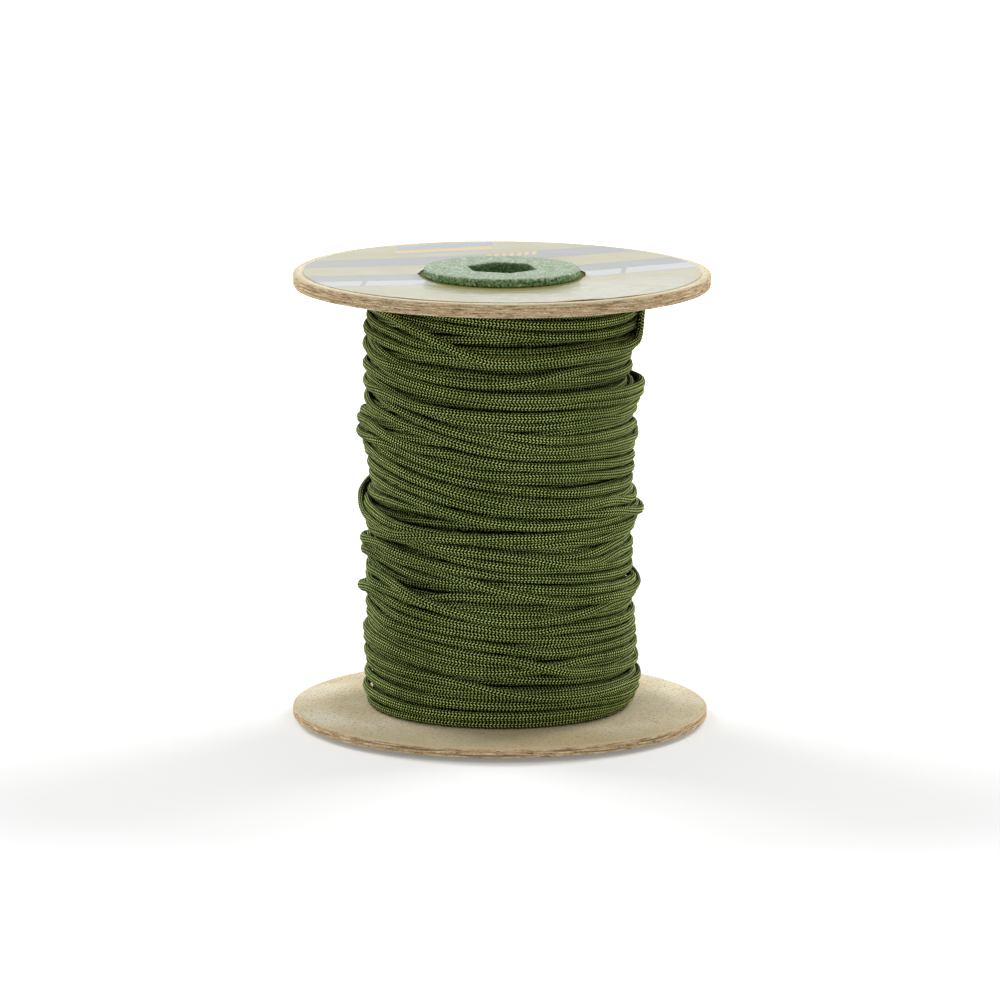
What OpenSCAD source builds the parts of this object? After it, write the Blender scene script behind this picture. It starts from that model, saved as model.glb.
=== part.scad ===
// Fishing line spool: a pasted-board reel with a hexagonal drive, wound full of flat braided line.
// Millimetres. Z runs along the spool's axis, and z = 0 is the face that the spool stands on.
// A flange is pasted from sheets of board. Its middle is clamped flat between the core tube and a
// hub's collar, and the wound line has pushed its rim outwards, so that it is slightly dished.

/* [Flanges] */
// Diameter of both flanges
flange_d = 114.3; // [95:0.1:160]
// Thickness of one sheet of board
ply_t = 0.93; // [0.6:0.01:1.5]
// How far a rim stands outwards from the flange's clamped middle
flange_dish = 1.2; // [0.2:0.1:2]
// Rounding of a flange's two rim edges
rim_round = 0.5; // [0.1:0.05:0.5]

/* [Core tube] */
// Length of the core tube, which keeps the flanges apart
tube_len = 114.8; // [60:0.1:180]
// Outside diameter of the core tube
tube_od = 38; // [34:0.1:50]
// Wall of the core tube
tube_wall = 2; // [1:0.1:4]

/* [Hubs] */
// Distance across the flats of the hexagonal drive
hex_af = 17.5; // [8:0.1:20]
// Turn of the hexagon about the spool's axis
hex_turn = -18; // [-30:1:30]
// Thickness of a hub's collar
collar_t = 2.4; // [1:0.1:5]
// How far a collar reaches out over its flange, past the flange's hole
collar_lip = 4.4; // [2:0.1:8]
// Rounding of a collar's outer edge
collar_round = 0.4; // [0.1:0.05:0.8]
// Depth of a hub below its collar
spigot_len = 14; // [8:0.5:30]
// Wall of a hub's outer ring
spigot_wall = 2; // [1:0.1:3]
// Wall around the hexagon
boss_wall = 2.2; // [1:0.1:3]
// Thickness of the ribs between the boss and the ring
rib_t = 1.6; // [0.8:0.1:3]
// Chamfer that leads a hub into the tube
lead_in = 0.8; // [0.2:0.1:1.2]
// Gap between a hub's ring and the tube's bore, all round
press_gap = 0.1; // [0.05:0.01:0.3]

/* [Label] */
// Thickness of the label's paper
label_t = 0.2; // [0.1:0.05:0.5]
// Bare board between the label and the rim
label_margin = 2.65; // [1:0.05:10]
// Bare board between the label's hole and the collar
label_clear = 1.5; // [0.3:0.1:5]

/* [Line] */
// Outside diameter of the wound line
wind_d = 75.6; // [60:0.1:90]
// Width of the line, pressed flat as it lies on the spool
line_w = 3; // [2:0.1:3.2]
// Thickness of the line
line_t = 1.8; // [1:0.1:2.4]
// Least gap between two turns of the outer layer, before they drift
turn_gap = 1.6; // [1.5:0.1:6]
// Drift of the turns to and fro along the spool
wander = 1.3; // [0:0.1:1.5]
// Gap between a turn and the layers below it
lay_gap = 0.2; // [0.1:0.05:0.5]
// Bend in the line where an end goes down into the layers below
end_bend = 4.8; // [3:0.1:6]
// Compass direction of the line's lower end, from the X axis
start_at = 75; // [0:1:359]

/* [Hidden] */
top_plies = 4;
bottom_plies = 3;
$fn = 128;

board_color = "#c3b48f";
tube_color = "#a98a63";
hub_color = "#6d9466";
label_color = "#d9d6b9";
line_color = "#5d7434";
core_color = "#46582a";

flange_r = flange_d / 2;
bore_r = tube_od / 2 - tube_wall;
collar_r = bore_r + collar_lip;
spigot_r = bore_r - press_gap;
hex_r = hex_af / 2 / cos(30);
boss_r = (hex_af / 2 + boss_wall) / cos(30);

// Heights of the clamped middles, from the rest face upwards
bottom_seat_z = collar_t;
tube_z = bottom_seat_z + bottom_plies * ply_t;
tube_top_z = tube_z + tube_len;
top_seat_z = tube_top_z + top_plies * ply_t;

// Angle between the points of a rounded edge, and how far a cutter passes the face that it cuts
round_step = 15;
cut_past = 1;

// The wound line: the tube that forms the outer layer has turn_rings rings in each turn, and
// arc_rings more where an end bends. Its section is a hexagon with faces flat_share as wide as it.
max_turns = 24;
turn_rings = 24;
arc_rings = 6;
flat_share = 0.6;
line_r = wind_d / 2 - line_t / 2;
inner_r = (line_r - line_t / 2) * cos(180 / turn_rings) - lay_gap;

// The turns drift along the spool in a slow sway, and a shake of a share of it that is twice as
// fast. Each starts some degrees later in every turn, and both fade away near the flanges.
sway_shift = 20;
shake_share = 0.4;
shake_shift = 50;
fade_turns = 1.5;

// Straight run at the line's ends, and the room around them in their slots
end_run = line_w;
slot_gap = 0.4;
// Gap between the innermost layer and the core tube
core_gap = 0.1;

// How far a flange's faces stand outwards at a radius
function dish(r) = r <= collar_r ? 0 : flange_dish * (r - collar_r) / (flange_r - collar_r);

// Points of a dished sheet's rounded rim edge, where the sheet's face is at height z in its middle.
// side is 1 on the outer face and -1 on the inner face.
function rim_edge(r, z, side, round) =
    round == 0 ? [[r, z + dish(r)]] : [
        for (a = [0 : round_step : 90])
            let (low = z + dish(r) - side * round, high = z + dish(r - round))
            [r - round * (1 - cos(a)), low + (high - low) * sin(a)]
    ];

function flip(list) = [for (i = [len(list) - 1 : -1 : 0]) list[i]];

// Outline of a dished sheet between two radii, with its inner face at height 0 in its middle
module sheet_outline(r1, r2, t, round_in = 0, round_out = 0) {
    polygon(concat(
        [[r1, dish(r1)]],
        r1 < collar_r ? [[collar_r, 0]] : [],
        flip(rim_edge(r2, 0, -1, round_in)),
        rim_edge(r2, t, 1, round_out),
        r1 < collar_r ? [[collar_r, t]] : [],
        [[r1, dish(r1) + t]]
    ));
}

// One sheet of a flange, counted outwards from the wound line
module flange_ply(i, plies) {
    color(board_color)
        rotate_extrude()
            translate([0, (i - 1) * ply_t])
                sheet_outline(
                    bore_r,
                    flange_r,
                    ply_t,
                    i == 1 ? rim_round : 0,
                    i == plies ? rim_round : 0
                );
}

module top_flange_ply(i) {
    translate([0, 0, tube_top_z])
        flange_ply(i, top_plies);
}

module bottom_flange_ply(i) {
    translate([0, 0, tube_z])
        mirror([0, 0, 1])
            flange_ply(i, bottom_plies);
}

module core_tube() {
    color(tube_color)
        translate([0, 0, tube_z])
            difference() {
                cylinder(h = tube_len, r = tube_od / 2);
                translate([0, 0, -cut_past])
                    cylinder(h = tube_len + 2 * cut_past, r = bore_r);
            }
}

module top_label() {
    color(label_color)
        translate([0, 0, top_seat_z])
            rotate_extrude()
                sheet_outline(collar_r + label_clear, flange_r - label_margin, label_t);
}

// Half section of a hub's collar and ring. The collar's underside is at height 0.
module hub_outline() {
    polygon(concat(
        [
            [0, 0],
            [spigot_r - spigot_wall, 0],
            [spigot_r - spigot_wall, -spigot_len],
            [spigot_r - lead_in, -spigot_len],
            [spigot_r, lead_in - spigot_len],
            [spigot_r, 0],
            [collar_r, 0]
        ],
        [for (a = [0 : round_step : 90])
            [collar_r - collar_round * (1 - cos(a)), collar_t - collar_round * (1 - sin(a))]],
        [[0, collar_t]]
    ));
}

// Boss around the hexagon, and the ribs that tie its corners to the ring
module hub_boss() {
    web_len = spigot_len + collar_t / 2;
    cylinder(h = web_len, r = boss_r, $fn = 6);
    for (a = [0 : 60 : 300])
        rotate([0, 0, a])
            translate([hex_r + boss_wall / 2, -rib_t / 2, 0])
                cube([spigot_r - spigot_wall / 2 - hex_r - boss_wall / 2, rib_t, web_len]);
}

module hub() {
    color(hub_color)
        difference() {
            union() {
                rotate_extrude()
                    hub_outline();
                translate([0, 0, -spigot_len])
                    rotate([0, 0, hex_turn])
                        hub_boss();
            }
            translate([0, 0, -spigot_len - cut_past])
                rotate([0, 0, hex_turn])
                    cylinder(h = spigot_len + collar_t + 2 * cut_past, r = hex_r, $fn = 6);
        }
}

module top_hub() {
    translate([0, 0, top_seat_z])
        hub();
}

// The lower hub is the same part, turned over so that both hexagons line up
module bottom_hub() {
    translate([0, 0, bottom_seat_z])
        mirror([0, 0, 1])
            hub();
}

// Heights of the outer layer's first and last turns, against the flanges, and how many turns fit
bottom_turn_z = tube_z - dish(line_r) + line_w / 2 + lay_gap;
top_turn_z = tube_top_z + dish(line_r) - line_w / 2 - lay_gap;
climb = top_turn_z - bottom_turn_z;
turns = min(max_turns, floor(climb / (line_w + turn_gap)));

// Height of the line after u turns
function turn_z(u) =
    let (
        fade = min(1, u / fade_turns, (turns - u) / fade_turns),
        sway = wander * sin((360 + sway_shift) * u),
        shake = shake_share * wander * sin((720 + shake_shift) * u)
    )
    bottom_turn_z + climb * u / turns + fade * (sway + shake);

function away(a) = [cos(a), sin(a), 0];
function along(a) = [sin(a), -cos(a), 0];

// An end's stations, from the drum's surface down into its slot: [point, direction off the drum].
// way is 1 where the line runs on towards the slot, and -1 where it comes up out of it.
function end_stations(a, z, way) = concat(
    [for (i = [1 : arc_rings])
        let (b = 90 * i / arc_rings)
        [
            line_r * away(a) + end_bend * (way * sin(b) * along(a) - (1 - cos(b)) * away(a)) + [0, 0, z],
            cos(b) * away(a) + way * sin(b) * along(a)
        ]],
    [[(line_r - end_bend - end_run) * away(a) + way * end_bend * along(a) + [0, 0, z], way * along(a)]]
);

// The whole outer layer: up out of the lower slot, round the drum turn by turn, down the upper slot
finish_at = start_at - 360 * turns;
line_stations = concat(
    flip(end_stations(start_at, turn_z(0), -1)),
    [for (i = [0 : turns * turn_rings])
        let (a = start_at - 360 * i / turn_rings)
        [line_r * away(a) + [0, 0, turn_z(i / turn_rings)], away(a)]],
    end_stations(finish_at, turn_z(turns), 1)
);

// Six corners of the flattened line, [across its width, off the drum]
flat_w = flat_share * line_w;
line_section = [
    [line_w / 2, 0],
    [flat_w / 2, line_t / 2],
    [-flat_w / 2, line_t / 2],
    [-line_w / 2, 0],
    [-flat_w / 2, -line_t / 2],
    [flat_w / 2, -line_t / 2]
];
sides = len(line_section);

function unit(v) = v / norm(v);

// The ring of corners at station i, square to the line's run
function line_ring(i) =
    let (
        last = len(line_stations) - 1,
        run = unit(line_stations[min(i + 1, last)][0] - line_stations[max(i - 1, 0)][0]),
        wide = unit(cross(run, line_stations[i][1])),
        off = cross(wide, run)
    )
    [for (c = line_section) line_stations[i][0] + c[0] * wide + c[1] * off];

// Least distance between two turns, measured between their corners. Only stations about one turn
// apart can be near each other.
function least_gap(rings) = min([
    for (i = [0 : len(rings) - 1])
        for (j = [i + turn_rings - 3 : 1 : min(len(rings) - 1, i + turn_rings + arc_rings + 2)])
            if (norm(line_stations[i][0] - line_stations[j][0]) < 3 * line_w)
                min([for (p = rings[i]) for (q = rings[j]) norm(p - q)])
]);

module line_outer_layer() {
    rings = [for (i = [0 : len(line_stations) - 1]) line_ring(i)];
    last = len(rings) - 1;
    echo(least_gap_between_turns = least_gap(rings));
    color(line_color)
        polyhedron(
            points = [for (ring = rings) for (p = ring) p],
            faces = concat(
                [for (k = [1 : sides - 2]) [0, k, k + 1]],
                [for (i = [0 : last - 1])
                    for (k = [0 : sides - 1])
                        for (half = [0, 1])
                            let (
                                n = (k + 1) % sides,
                                low = i * sides,
                                high = low + sides
                            )
                            half == 0 ? [low + k, high + k, high + n] : [low + k, high + n, low + n]],
                [for (k = [1 : sides - 2]) [last * sides, last * sides + k + 1, last * sides + k]]
            )
        );
}

// Slot that an end of the outer layer comes up through, to one side of compass direction a
module end_slot(a, z, way) {
    floor_r = line_r - end_bend - end_run;
    half_w = line_w / 2 + slot_gap;
    reach = end_bend + line_t / 2 + slot_gap;
    translate([0, 0, z])
        rotate([0, 0, a])
            translate([floor_r, way > 0 ? -reach : -slot_gap, -half_w])
                cube([line_r - floor_r + line_t, reach + slot_gap, 2 * half_w]);
}

// All the turns below the outer layer, as one body that fills the drum out to them
module line_inner_layers() {
    color(core_color)
        difference() {
            rotate_extrude()
                polygon([
                    [tube_od / 2 + core_gap, tube_z],
                    [collar_r, tube_z],
                    [inner_r, tube_z - dish(inner_r)],
                    [inner_r, tube_top_z + dish(inner_r)],
                    [collar_r, tube_top_z],
                    [tube_od / 2 + core_gap, tube_top_z]
                ]);
            end_slot(start_at, turn_z(0), -1);
            end_slot(finish_at, turn_z(turns), 1);
        }
}

bottom_hub();
for (i = [1 : bottom_plies])
    bottom_flange_ply(i);
core_tube();
line_inner_layers();
line_outer_layer();
for (i = [1 : top_plies])
    top_flange_ply(i);
top_label();
top_hub();
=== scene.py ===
"""Dresses a spool of fishing line: pasted-board flanges, moulded hubs, a paper label and braided line.

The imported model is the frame. The line is laid turn by turn over what already lies on the drum, so
that each turn sinks into a groove or rides over the turns below it, as on a spool wound by hand.
"""

import logging
import math
from dataclasses import dataclass, field
from enum import Enum

import bmesh
import bpy
import numpy as np
from mathutils import Matrix, Vector, noise


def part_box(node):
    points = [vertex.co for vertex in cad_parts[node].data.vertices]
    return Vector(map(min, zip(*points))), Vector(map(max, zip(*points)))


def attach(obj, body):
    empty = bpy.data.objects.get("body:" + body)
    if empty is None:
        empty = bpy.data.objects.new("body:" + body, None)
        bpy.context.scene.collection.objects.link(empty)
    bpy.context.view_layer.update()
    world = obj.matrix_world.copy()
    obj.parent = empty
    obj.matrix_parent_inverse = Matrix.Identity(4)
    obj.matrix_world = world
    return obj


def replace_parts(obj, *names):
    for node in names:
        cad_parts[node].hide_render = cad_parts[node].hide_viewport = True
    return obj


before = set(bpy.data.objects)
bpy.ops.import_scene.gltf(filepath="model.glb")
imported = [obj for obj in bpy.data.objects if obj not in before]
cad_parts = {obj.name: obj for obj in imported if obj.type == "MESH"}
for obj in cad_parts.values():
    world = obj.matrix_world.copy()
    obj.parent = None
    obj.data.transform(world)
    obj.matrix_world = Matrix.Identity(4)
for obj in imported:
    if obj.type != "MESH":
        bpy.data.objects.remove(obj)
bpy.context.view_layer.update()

MM = 0.001
LOG = logging.getLogger("spool")
UP = Vector((0.0, 0.0, 1.0))
BODY = "root"
BRAID_MAP = "BraidMap"
BAKE_MAP = "OFBake"

Colour = tuple[float, float, float, float]
Span = tuple[float, float]
Run = tuple[np.ndarray, np.ndarray, np.ndarray]
Rings = tuple[np.ndarray, np.ndarray]
WHITE: Colour = (1.0, 1.0, 1.0, 1.0)


def srgb(red: int, green: int, blue: int) -> Colour:
    """Turn a screen colour into a linear one.

    Args:
        red: Red, from 0 to 255.
        green: Green, in the same way.
        blue: Blue, in the same way.

    Returns:
        The linear colour, with nothing of it clear.
    """
    def linear(channel: float) -> float:
        """Undo the screen's curve for one channel."""
        share = channel / 255
        return share / 12.92 if share <= 0.04045 else ((share + 0.055) / 1.055) ** 2.4

    return (linear(red), linear(green), linear(blue), 1.0)


def blur(values: np.ndarray, sigma: float) -> np.ndarray:
    """Smooth a row of values, whose ends are carried on as they are.

    Args:
        values: The row of values.
        sigma: Width of the smoothing, in values.

    Returns:
        The smoothed row, as long as the first.
    """
    reach = int(3 * sigma) + 1
    weights = np.exp(-0.5 * (np.arange(-reach, reach + 1) / sigma) ** 2)
    return np.convolve(np.pad(values, reach, mode="edge"), weights / weights.sum(), mode="valid")


def drift(count: int, sigma: float, amount: float, rng: np.random.Generator) -> np.ndarray:
    """Make a smooth random row.

    Args:
        count: How many values it has.
        sigma: Width over which neighbours are alike, in values.
        amount: Standard deviation of the row.
        rng: Source of the random numbers.

    Returns:
        The row of values.
    """
    margin = int(4 * sigma)
    raw = blur(rng.standard_normal(count + 2 * margin), sigma)[margin:margin + count]
    return amount * raw / raw.std()


def ring_drift(
    angles: np.ndarray, waves: tuple[int, int], amount: float, rng: np.random.Generator
) -> np.ndarray:
    """Make a random wave that closes on itself round a ring.

    Args:
        angles: Angle of each place on the ring.
        waves: Fewest and most waves round the ring.
        amount: Standard deviation of the wave.
        rng: Source of the random numbers.

    Returns:
        The wave's height at each angle.
    """
    parts = 24
    counts = rng.integers(waves[0], waves[1] + 1, parts)
    phases = rng.uniform(0, 2 * math.pi, parts)
    sizes = rng.uniform(0.4, 1.0, parts)
    total = sum(s * np.sin(c * angles + p) for c, p, s in zip(counts, phases, sizes))
    return amount * total / math.sqrt((sizes**2).sum() / 2)


def reach(node: str) -> tuple[float, float]:
    """Find how near to the axis a CAD node's points come, and how far from it.

    Args:
        node: The node's name.

    Returns:
        Least and greatest distance from the axis.
    """
    points = np.array([vert.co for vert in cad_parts[node].data.vertices])
    radii = np.hypot(points[:, 0], points[:, 1])
    return float(radii.min()), float(radii.max())


def place(name: str, mesh: bpy.types.Mesh, material: bpy.types.Material) -> bpy.types.Object:
    """Put a finished mesh into the scene as a piece of the spool.

    Args:
        name: The piece's name.
        mesh: Its mesh, in its place.
        material: Its finish.

    Returns:
        The piece.
    """
    mesh.materials.append(material)
    mesh.polygons.foreach_set("use_smooth", np.ones(len(mesh.polygons), bool))
    piece = bpy.data.objects.new(name, mesh)
    bpy.context.scene.collection.objects.link(piece)
    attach(piece, BODY)
    LOG.info("%s: %d faces", name, len(mesh.polygons))
    return piece


def mesh_points(mesh: bpy.types.Mesh) -> np.ndarray:
    """Read a mesh's points.

    Args:
        mesh: The mesh.

    Returns:
        Its points, as rows of x, y and z.
    """
    points = np.empty(len(mesh.vertices) * 3)
    mesh.vertices.foreach_get("co", points)
    return points.reshape(-1, 3)


def move_points(mesh: bpy.types.Mesh, points: np.ndarray) -> None:
    """Write a mesh's points from rows of x, y and z."""
    mesh.vertices.foreach_set("co", points.ravel())
    mesh.update()


def spun_mesh(name: str, outline: list[tuple[float, float]], steps: int) -> bpy.types.Mesh:
    """Spin a closed outline round the spool's axis.

    Args:
        name: The mesh's name.
        outline: Its points, as radius and height, in order.
        steps: Number of steps round the axis.

    Returns:
        The closed mesh.
    """
    bm = bmesh.new()
    points = [bm.verts.new((radius, 0.0, height)) for radius, height in outline]
    edges = [bm.edges.new((a, b)) for a, b in zip(points, points[1:] + points[:1])]
    bmesh.ops.spin(
        bm,
        geom=points + edges,
        cent=(0, 0, 0),
        axis=UP,
        angle=2 * math.pi,
        steps=steps,
        use_merge=True,
    )
    bmesh.ops.recalc_face_normals(bm, faces=bm.faces)
    mesh = bpy.data.meshes.new(name)
    bm.to_mesh(mesh)
    bm.free()
    return mesh


@dataclass(frozen=True, eq=False)
class Wire:
    """A value that a node gives out. Each sum or product of wires adds a node of its own."""

    graph: "Graph"
    socket: bpy.types.NodeSocket

    def __add__(self, other: "Value") -> "Wire":
        """Add a value."""
        return self.graph.math("ADD", self, other)

    def __sub__(self, other: "Value") -> "Wire":
        """Take a value away."""
        return self.graph.math("SUBTRACT", self, other)

    def __rsub__(self, other: float) -> "Wire":
        """Take this value away from a number."""
        return self.graph.math("SUBTRACT", other, self)

    def __mul__(self, other: "Value") -> "Wire":
        """Multiply by a value."""
        return self.graph.math("MULTIPLY", self, other)

    def __truediv__(self, other: "Value") -> "Wire":
        """Divide by a value."""
        return self.graph.math("DIVIDE", self, other)

    def __abs__(self) -> "Wire":
        """Drop the sign."""
        return self.graph.math("ABSOLUTE", self)

    def fract(self) -> "Wire":
        """Keep what is over a whole number."""
        return self.graph.math("FRACT", self)

    def most(self, other: "Value") -> "Wire":
        """Take the greater of two values."""
        return self.graph.math("MAXIMUM", self, other)

    def span(self, source: tuple[float, float], target: tuple[float, float], kind: str = "LINEAR") -> "Wire":
        """Map one span of values on to another, and hold the value at both ends.

        Args:
            source: Where the first span starts and ends.
            target: The values that those two become.
            kind: How the values between them go.

        Returns:
            The mapped value.
        """
        inputs = dict(enumerate((self, *source, *target)))
        made = self.graph.node("ShaderNodeMapRange", inputs, interpolation_type=kind)
        return Wire(self.graph, made.outputs[0])

    def rise(self, low: float, high: float) -> "Wire":
        """Go smoothly from 0 at low to 1 at high, where low may be above high."""
        return self.span((low, high), (0.0, 1.0), "SMOOTHSTEP")

    def within(self, low: float, high: float, soft: float) -> "Wire":
        """Be 1 between two values and 0 outside them, with soft edges."""
        return self.rise(low - soft, low + soft) * self.rise(high + soft, high - soft)


Value = Wire | float
Paint = Wire | Colour


class Graph:
    """The nodes of one material or world. Each call adds nodes."""

    def __init__(self, owner: bpy.types.Material | bpy.types.World) -> None:
        """Start with no nodes.

        Args:
            owner: The material or world whose nodes these are.
        """
        owner.use_nodes = True
        self.owner = owner
        self.tree = owner.node_tree
        self.tree.nodes.clear()

    def node(
        self, kind: str, inputs: dict[str | int, object] | None = None, **settings: object
    ) -> bpy.types.Node:
        """Add a node.

        Args:
            kind: The node's kind.
            inputs: Wires and constants for its inputs, by their names or places.
            **settings: The node's own settings.

        Returns:
            The node.
        """
        made = self.tree.nodes.new(kind)
        for key, value in settings.items():
            setattr(made, key, value)
        for key, value in (inputs or {}).items():
            if isinstance(value, Wire):
                self.tree.links.new(value.socket, made.inputs[key])
            else:
                made.inputs[key].default_value = value
        return made

    def read(self, kind: str, output: str, **settings: object) -> Wire:
        """Read one output of a node that needs no input."""
        return Wire(self, self.node(kind, **settings).outputs[output])

    def math(self, operation: str, *values: Value) -> Wire:
        """Work out one sum."""
        made = self.node("ShaderNodeMath", dict(enumerate(values)), operation=operation)
        return Wire(self, made.outputs[0])

    def radius(self, x: Wire, y: Wire) -> Wire:
        """Work out the distance from the spool's axis."""
        return self.math("SQRT", x * x + y * y)

    def mix(self, share: Value, a: Paint, b: Paint) -> Wire:
        """Mix a share of the second colour into the first."""
        made = self.node("ShaderNodeMix", {0: share, 6: a, 7: b}, data_type="RGBA")
        return Wire(self, made.outputs[2])

    def noise(self, where: Wire, scale: float, detail: float, roughness: float) -> Wire:
        """Read a cloud of noise whose features are 1 / scale metres across."""
        inputs = {"Vector": where, "Scale": scale, "Detail": detail, "Roughness": roughness}
        return Wire(self, self.node("ShaderNodeTexNoise", inputs).outputs["Fac"])

    def split(self, where: Wire) -> tuple[Wire, ...]:
        """Split a vector into x, y and z."""
        made = self.node("ShaderNodeSeparateXYZ", {0: where})
        return tuple(Wire(self, socket) for socket in made.outputs)

    def join(self, x: Value, y: Value, z: Value) -> Wire:
        """Join x, y and z into a vector."""
        made = self.node("ShaderNodeCombineXYZ", {0: x, 1: y, 2: z})
        return Wire(self, made.outputs[0])

    def place(self) -> Wire:
        """Read the place on the object, in metres."""
        return self.read("ShaderNodeTexCoord", "Object")

    def facing(self) -> tuple[Wire, ...]:
        """Read which way the surface faces, as x, y and z."""
        return self.split(self.read("ShaderNodeNewGeometry", "True Normal"))

    def looked_at(self) -> Wire:
        """Tell what the camera sees from what only gives light.

        Returns:
            1 for the camera, also in gloss and through glass, and 0 otherwise.
        """
        path, rays = self.node("ShaderNodeLightPath").outputs, ("Camera", "Glossy", "Transmission")
        camera, gloss, glass = (Wire(self, path[f"Is {ray} Ray"]) for ray in rays)
        return camera.most(gloss).most(glass)

    def bump(self, height: Wire, distance: float, strength: float) -> Wire:
        """Turn a height from 0 to 1 into a bump of that many metres."""
        inputs = {"Height": height, "Distance": distance, "Strength": strength}
        return Wire(self, self.node("ShaderNodeBump", inputs).outputs[0])

    def finish(self, **sockets: object) -> bpy.types.Material:
        """End a material with the surface shader.

        Args:
            **sockets: Values of its sockets, with words joined by an underscore.

        Returns:
            The material.
        """
        names = {key: key.replace("_", " ").title().replace("Ior", "IOR") for key in sockets}
        shader = self.node("ShaderNodeBsdfPrincipled", {names[key]: value for key, value in sockets.items()})
        self.node("ShaderNodeOutputMaterial", {"Surface": Wire(self, shader.outputs[0])})
        return self.owner


@dataclass(frozen=True)
class BoardFinish:
    """Grey-tan paperboard with fine flecks, browner and streaked on its cut edge."""

    face: Colour = srgb(250, 240, 214)
    face_warm: Colour = srgb(236, 220, 184)
    fleck: Colour = srgb(140, 120, 86)
    shoulder: Colour = srgb(222, 200, 160)
    edge: Colour = srgb(222, 186, 138)
    edge_pale: Colour = srgb(252, 238, 204)
    edge_dark: Colour = srgb(126, 90, 54)
    # painted olive reflection and shadow of the green collar round the hub
    collar_reflection: Colour = srgb(108, 110, 30)
    # painted warm shade near the line and on the lower flange's front
    wear_and_shade: Colour = srgb(168, 146, 88)
    rim_r: float = 57.15 * MM
    line_shade_r: float = 43 * MM
    line_shade_soft: float = 8 * MM
    worn_width: float = 1.3 * MM
    reflection_r: float = 24.2 * MM
    reflection_soft: float = 1.2 * MM
    reflection_reach: float = 9 * MM

    def material(self) -> bpy.types.Material:
        """Build the board's material.

        Returns:
            The material.
        """
        g = Graph(bpy.data.materials.new("pasted_board"))
        where = g.place()
        x, y, z = g.split(where)
        _, _, nz = g.facing()
        radius, turn = g.radius(x, y), g.math("ARCTAN2", y, x)
        clouds = g.noise(where, scale=55, detail=3, roughness=0.5)
        grain = g.noise(where, scale=1900, detail=4, roughness=0.75)
        streaks = g.noise(g.join(turn * 0.005, 0.0, z), scale=2300, detail=2, roughness=0.5)
        fibres = g.noise(g.join(turn * 0.016, 0.0, z), scale=3900, detail=3, roughness=0.6)
        face = g.mix(clouds.rise(0.35, 0.7), self.face, self.face_warm)
        face = self.flecked(g, face, grain, g.noise(where, scale=1250, detail=2, roughness=0.5))
        face = self.marked(g, face, (y, z, radius), clouds - 0.5)
        near_rim = radius + (grain - 0.5) * (0.9 * MM)
        worn = near_rim.rise(self.rim_r - self.worn_width, self.rim_r - 0.4 * self.worn_width)
        upright = abs(nz).rise(0.75, 0.2)
        return g.finish(
            base_color=g.mix(upright, g.mix(worn * 0.7, face, self.shoulder), self.cut(g, streaks, fibres)),
            roughness=0.88,
            specular_ior_level=0.2,
            normal=g.bump(grain * 0.7 + fibres * upright, 0.1 * MM, 0.7),
        )

    def flecked(self, g: Graph, face: Wire, grain: Wire, flecks: Wire) -> Wire:
        """Strew a sheet's face with fine grain and single flecks."""
        face = g.mix(grain.rise(0.48, 0.6) * 0.42, face, self.fleck)
        return g.mix(flecks.rise(0.62, 0.68) * 0.8, face, self.fleck)

    def marked(self, g: Graph, face: Wire, at: tuple[Wire, Wire, Wire], clouds: Wire) -> Wire:
        """Paint an olive reflection and shadow of the hub's collar round the hub, and paint warm shade near
        the line and on the lower flange's front.

        Args:
            g: The material's nodes.
            face: Colour of the clean face.
            at: Depth and height of the place, and its distance from the axis.
            clouds: Clouds round 0, along which the marks stray.

        Returns:
            The marked face.
        """
        y, z, radius = at
        # painted reflection and shadow of the collar, reaching further out on the upper flange's front
        reflection_radius = radius - y.rise(-6 * MM, -16 * MM) * z.rise(90 * MM, 110 * MM) * self.reflection_reach
        reflected = (reflection_radius + clouds * (4 * MM)).rise(self.reflection_r, self.reflection_r - self.reflection_soft)
        face = g.mix(reflected * 0.9, face, self.collar_reflection)
        # painted warm shade: a ring near the line, and the lower flange's front
        near_line = (radius + clouds * (6 * MM)).rise(self.line_shade_r + self.line_shade_soft, self.line_shade_r)
        front_shade = y.rise(-20 * MM, -44 * MM) * z.rise(14 * MM, 8 * MM)
        return g.mix((near_line * 0.25).most(front_shade * 0.5), face, self.wear_and_shade)

    def cut(self, g: Graph, streaks: Wire, fibres: Wire) -> Wire:
        """Colour the cut edge, whose layers show as long streaks and short fibres.

        Args:
            g: The material's nodes.
            streaks: Noise drawn out along the edge.
            fibres: Finer noise drawn out in the same way.

        Returns:
            The edge's colour.
        """
        edge = g.mix(streaks.rise(0.49, 0.37) * 0.95, self.edge, self.edge_dark)
        edge = g.mix(streaks.rise(0.51, 0.63) * 0.9, edge, self.edge_pale)
        edge = g.mix(fibres.rise(0.54, 0.63) * 0.75, edge, self.edge_dark)
        return g.mix(fibres.rise(0.46, 0.37) * 0.75, edge, self.edge_pale)


@dataclass(frozen=True)
class KraftFinish:
    """Brown kraft board of the core tube, with the spiral seam of its winding."""

    colour: Colour = srgb(168, 134, 96)
    seam: Colour = srgb(112, 84, 56)
    seam_pitch: float = 62 * MM

    def material(self) -> bpy.types.Material:
        """Build the tube's material.

        Returns:
            The material.
        """
        g = Graph(bpy.data.materials.new("kraft_tube"))
        where = g.place()
        x, y, z = g.split(where)
        spiral = (z / self.seam_pitch + g.math("ARCTAN2", y, x) / (2 * math.pi)).fract()
        fibre = g.noise(where, scale=900, detail=5, roughness=0.65)
        shade = spiral.within(0.49, 0.505, 0.006).most(fibre.rise(0.4, 0.7) * 0.4)
        return g.finish(
            base_color=g.mix(shade, self.colour, self.seam),
            roughness=0.85,
            specular_ior_level=0.3,
            normal=g.bump(fibre, 0.08 * MM, 0.6),
        )


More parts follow.
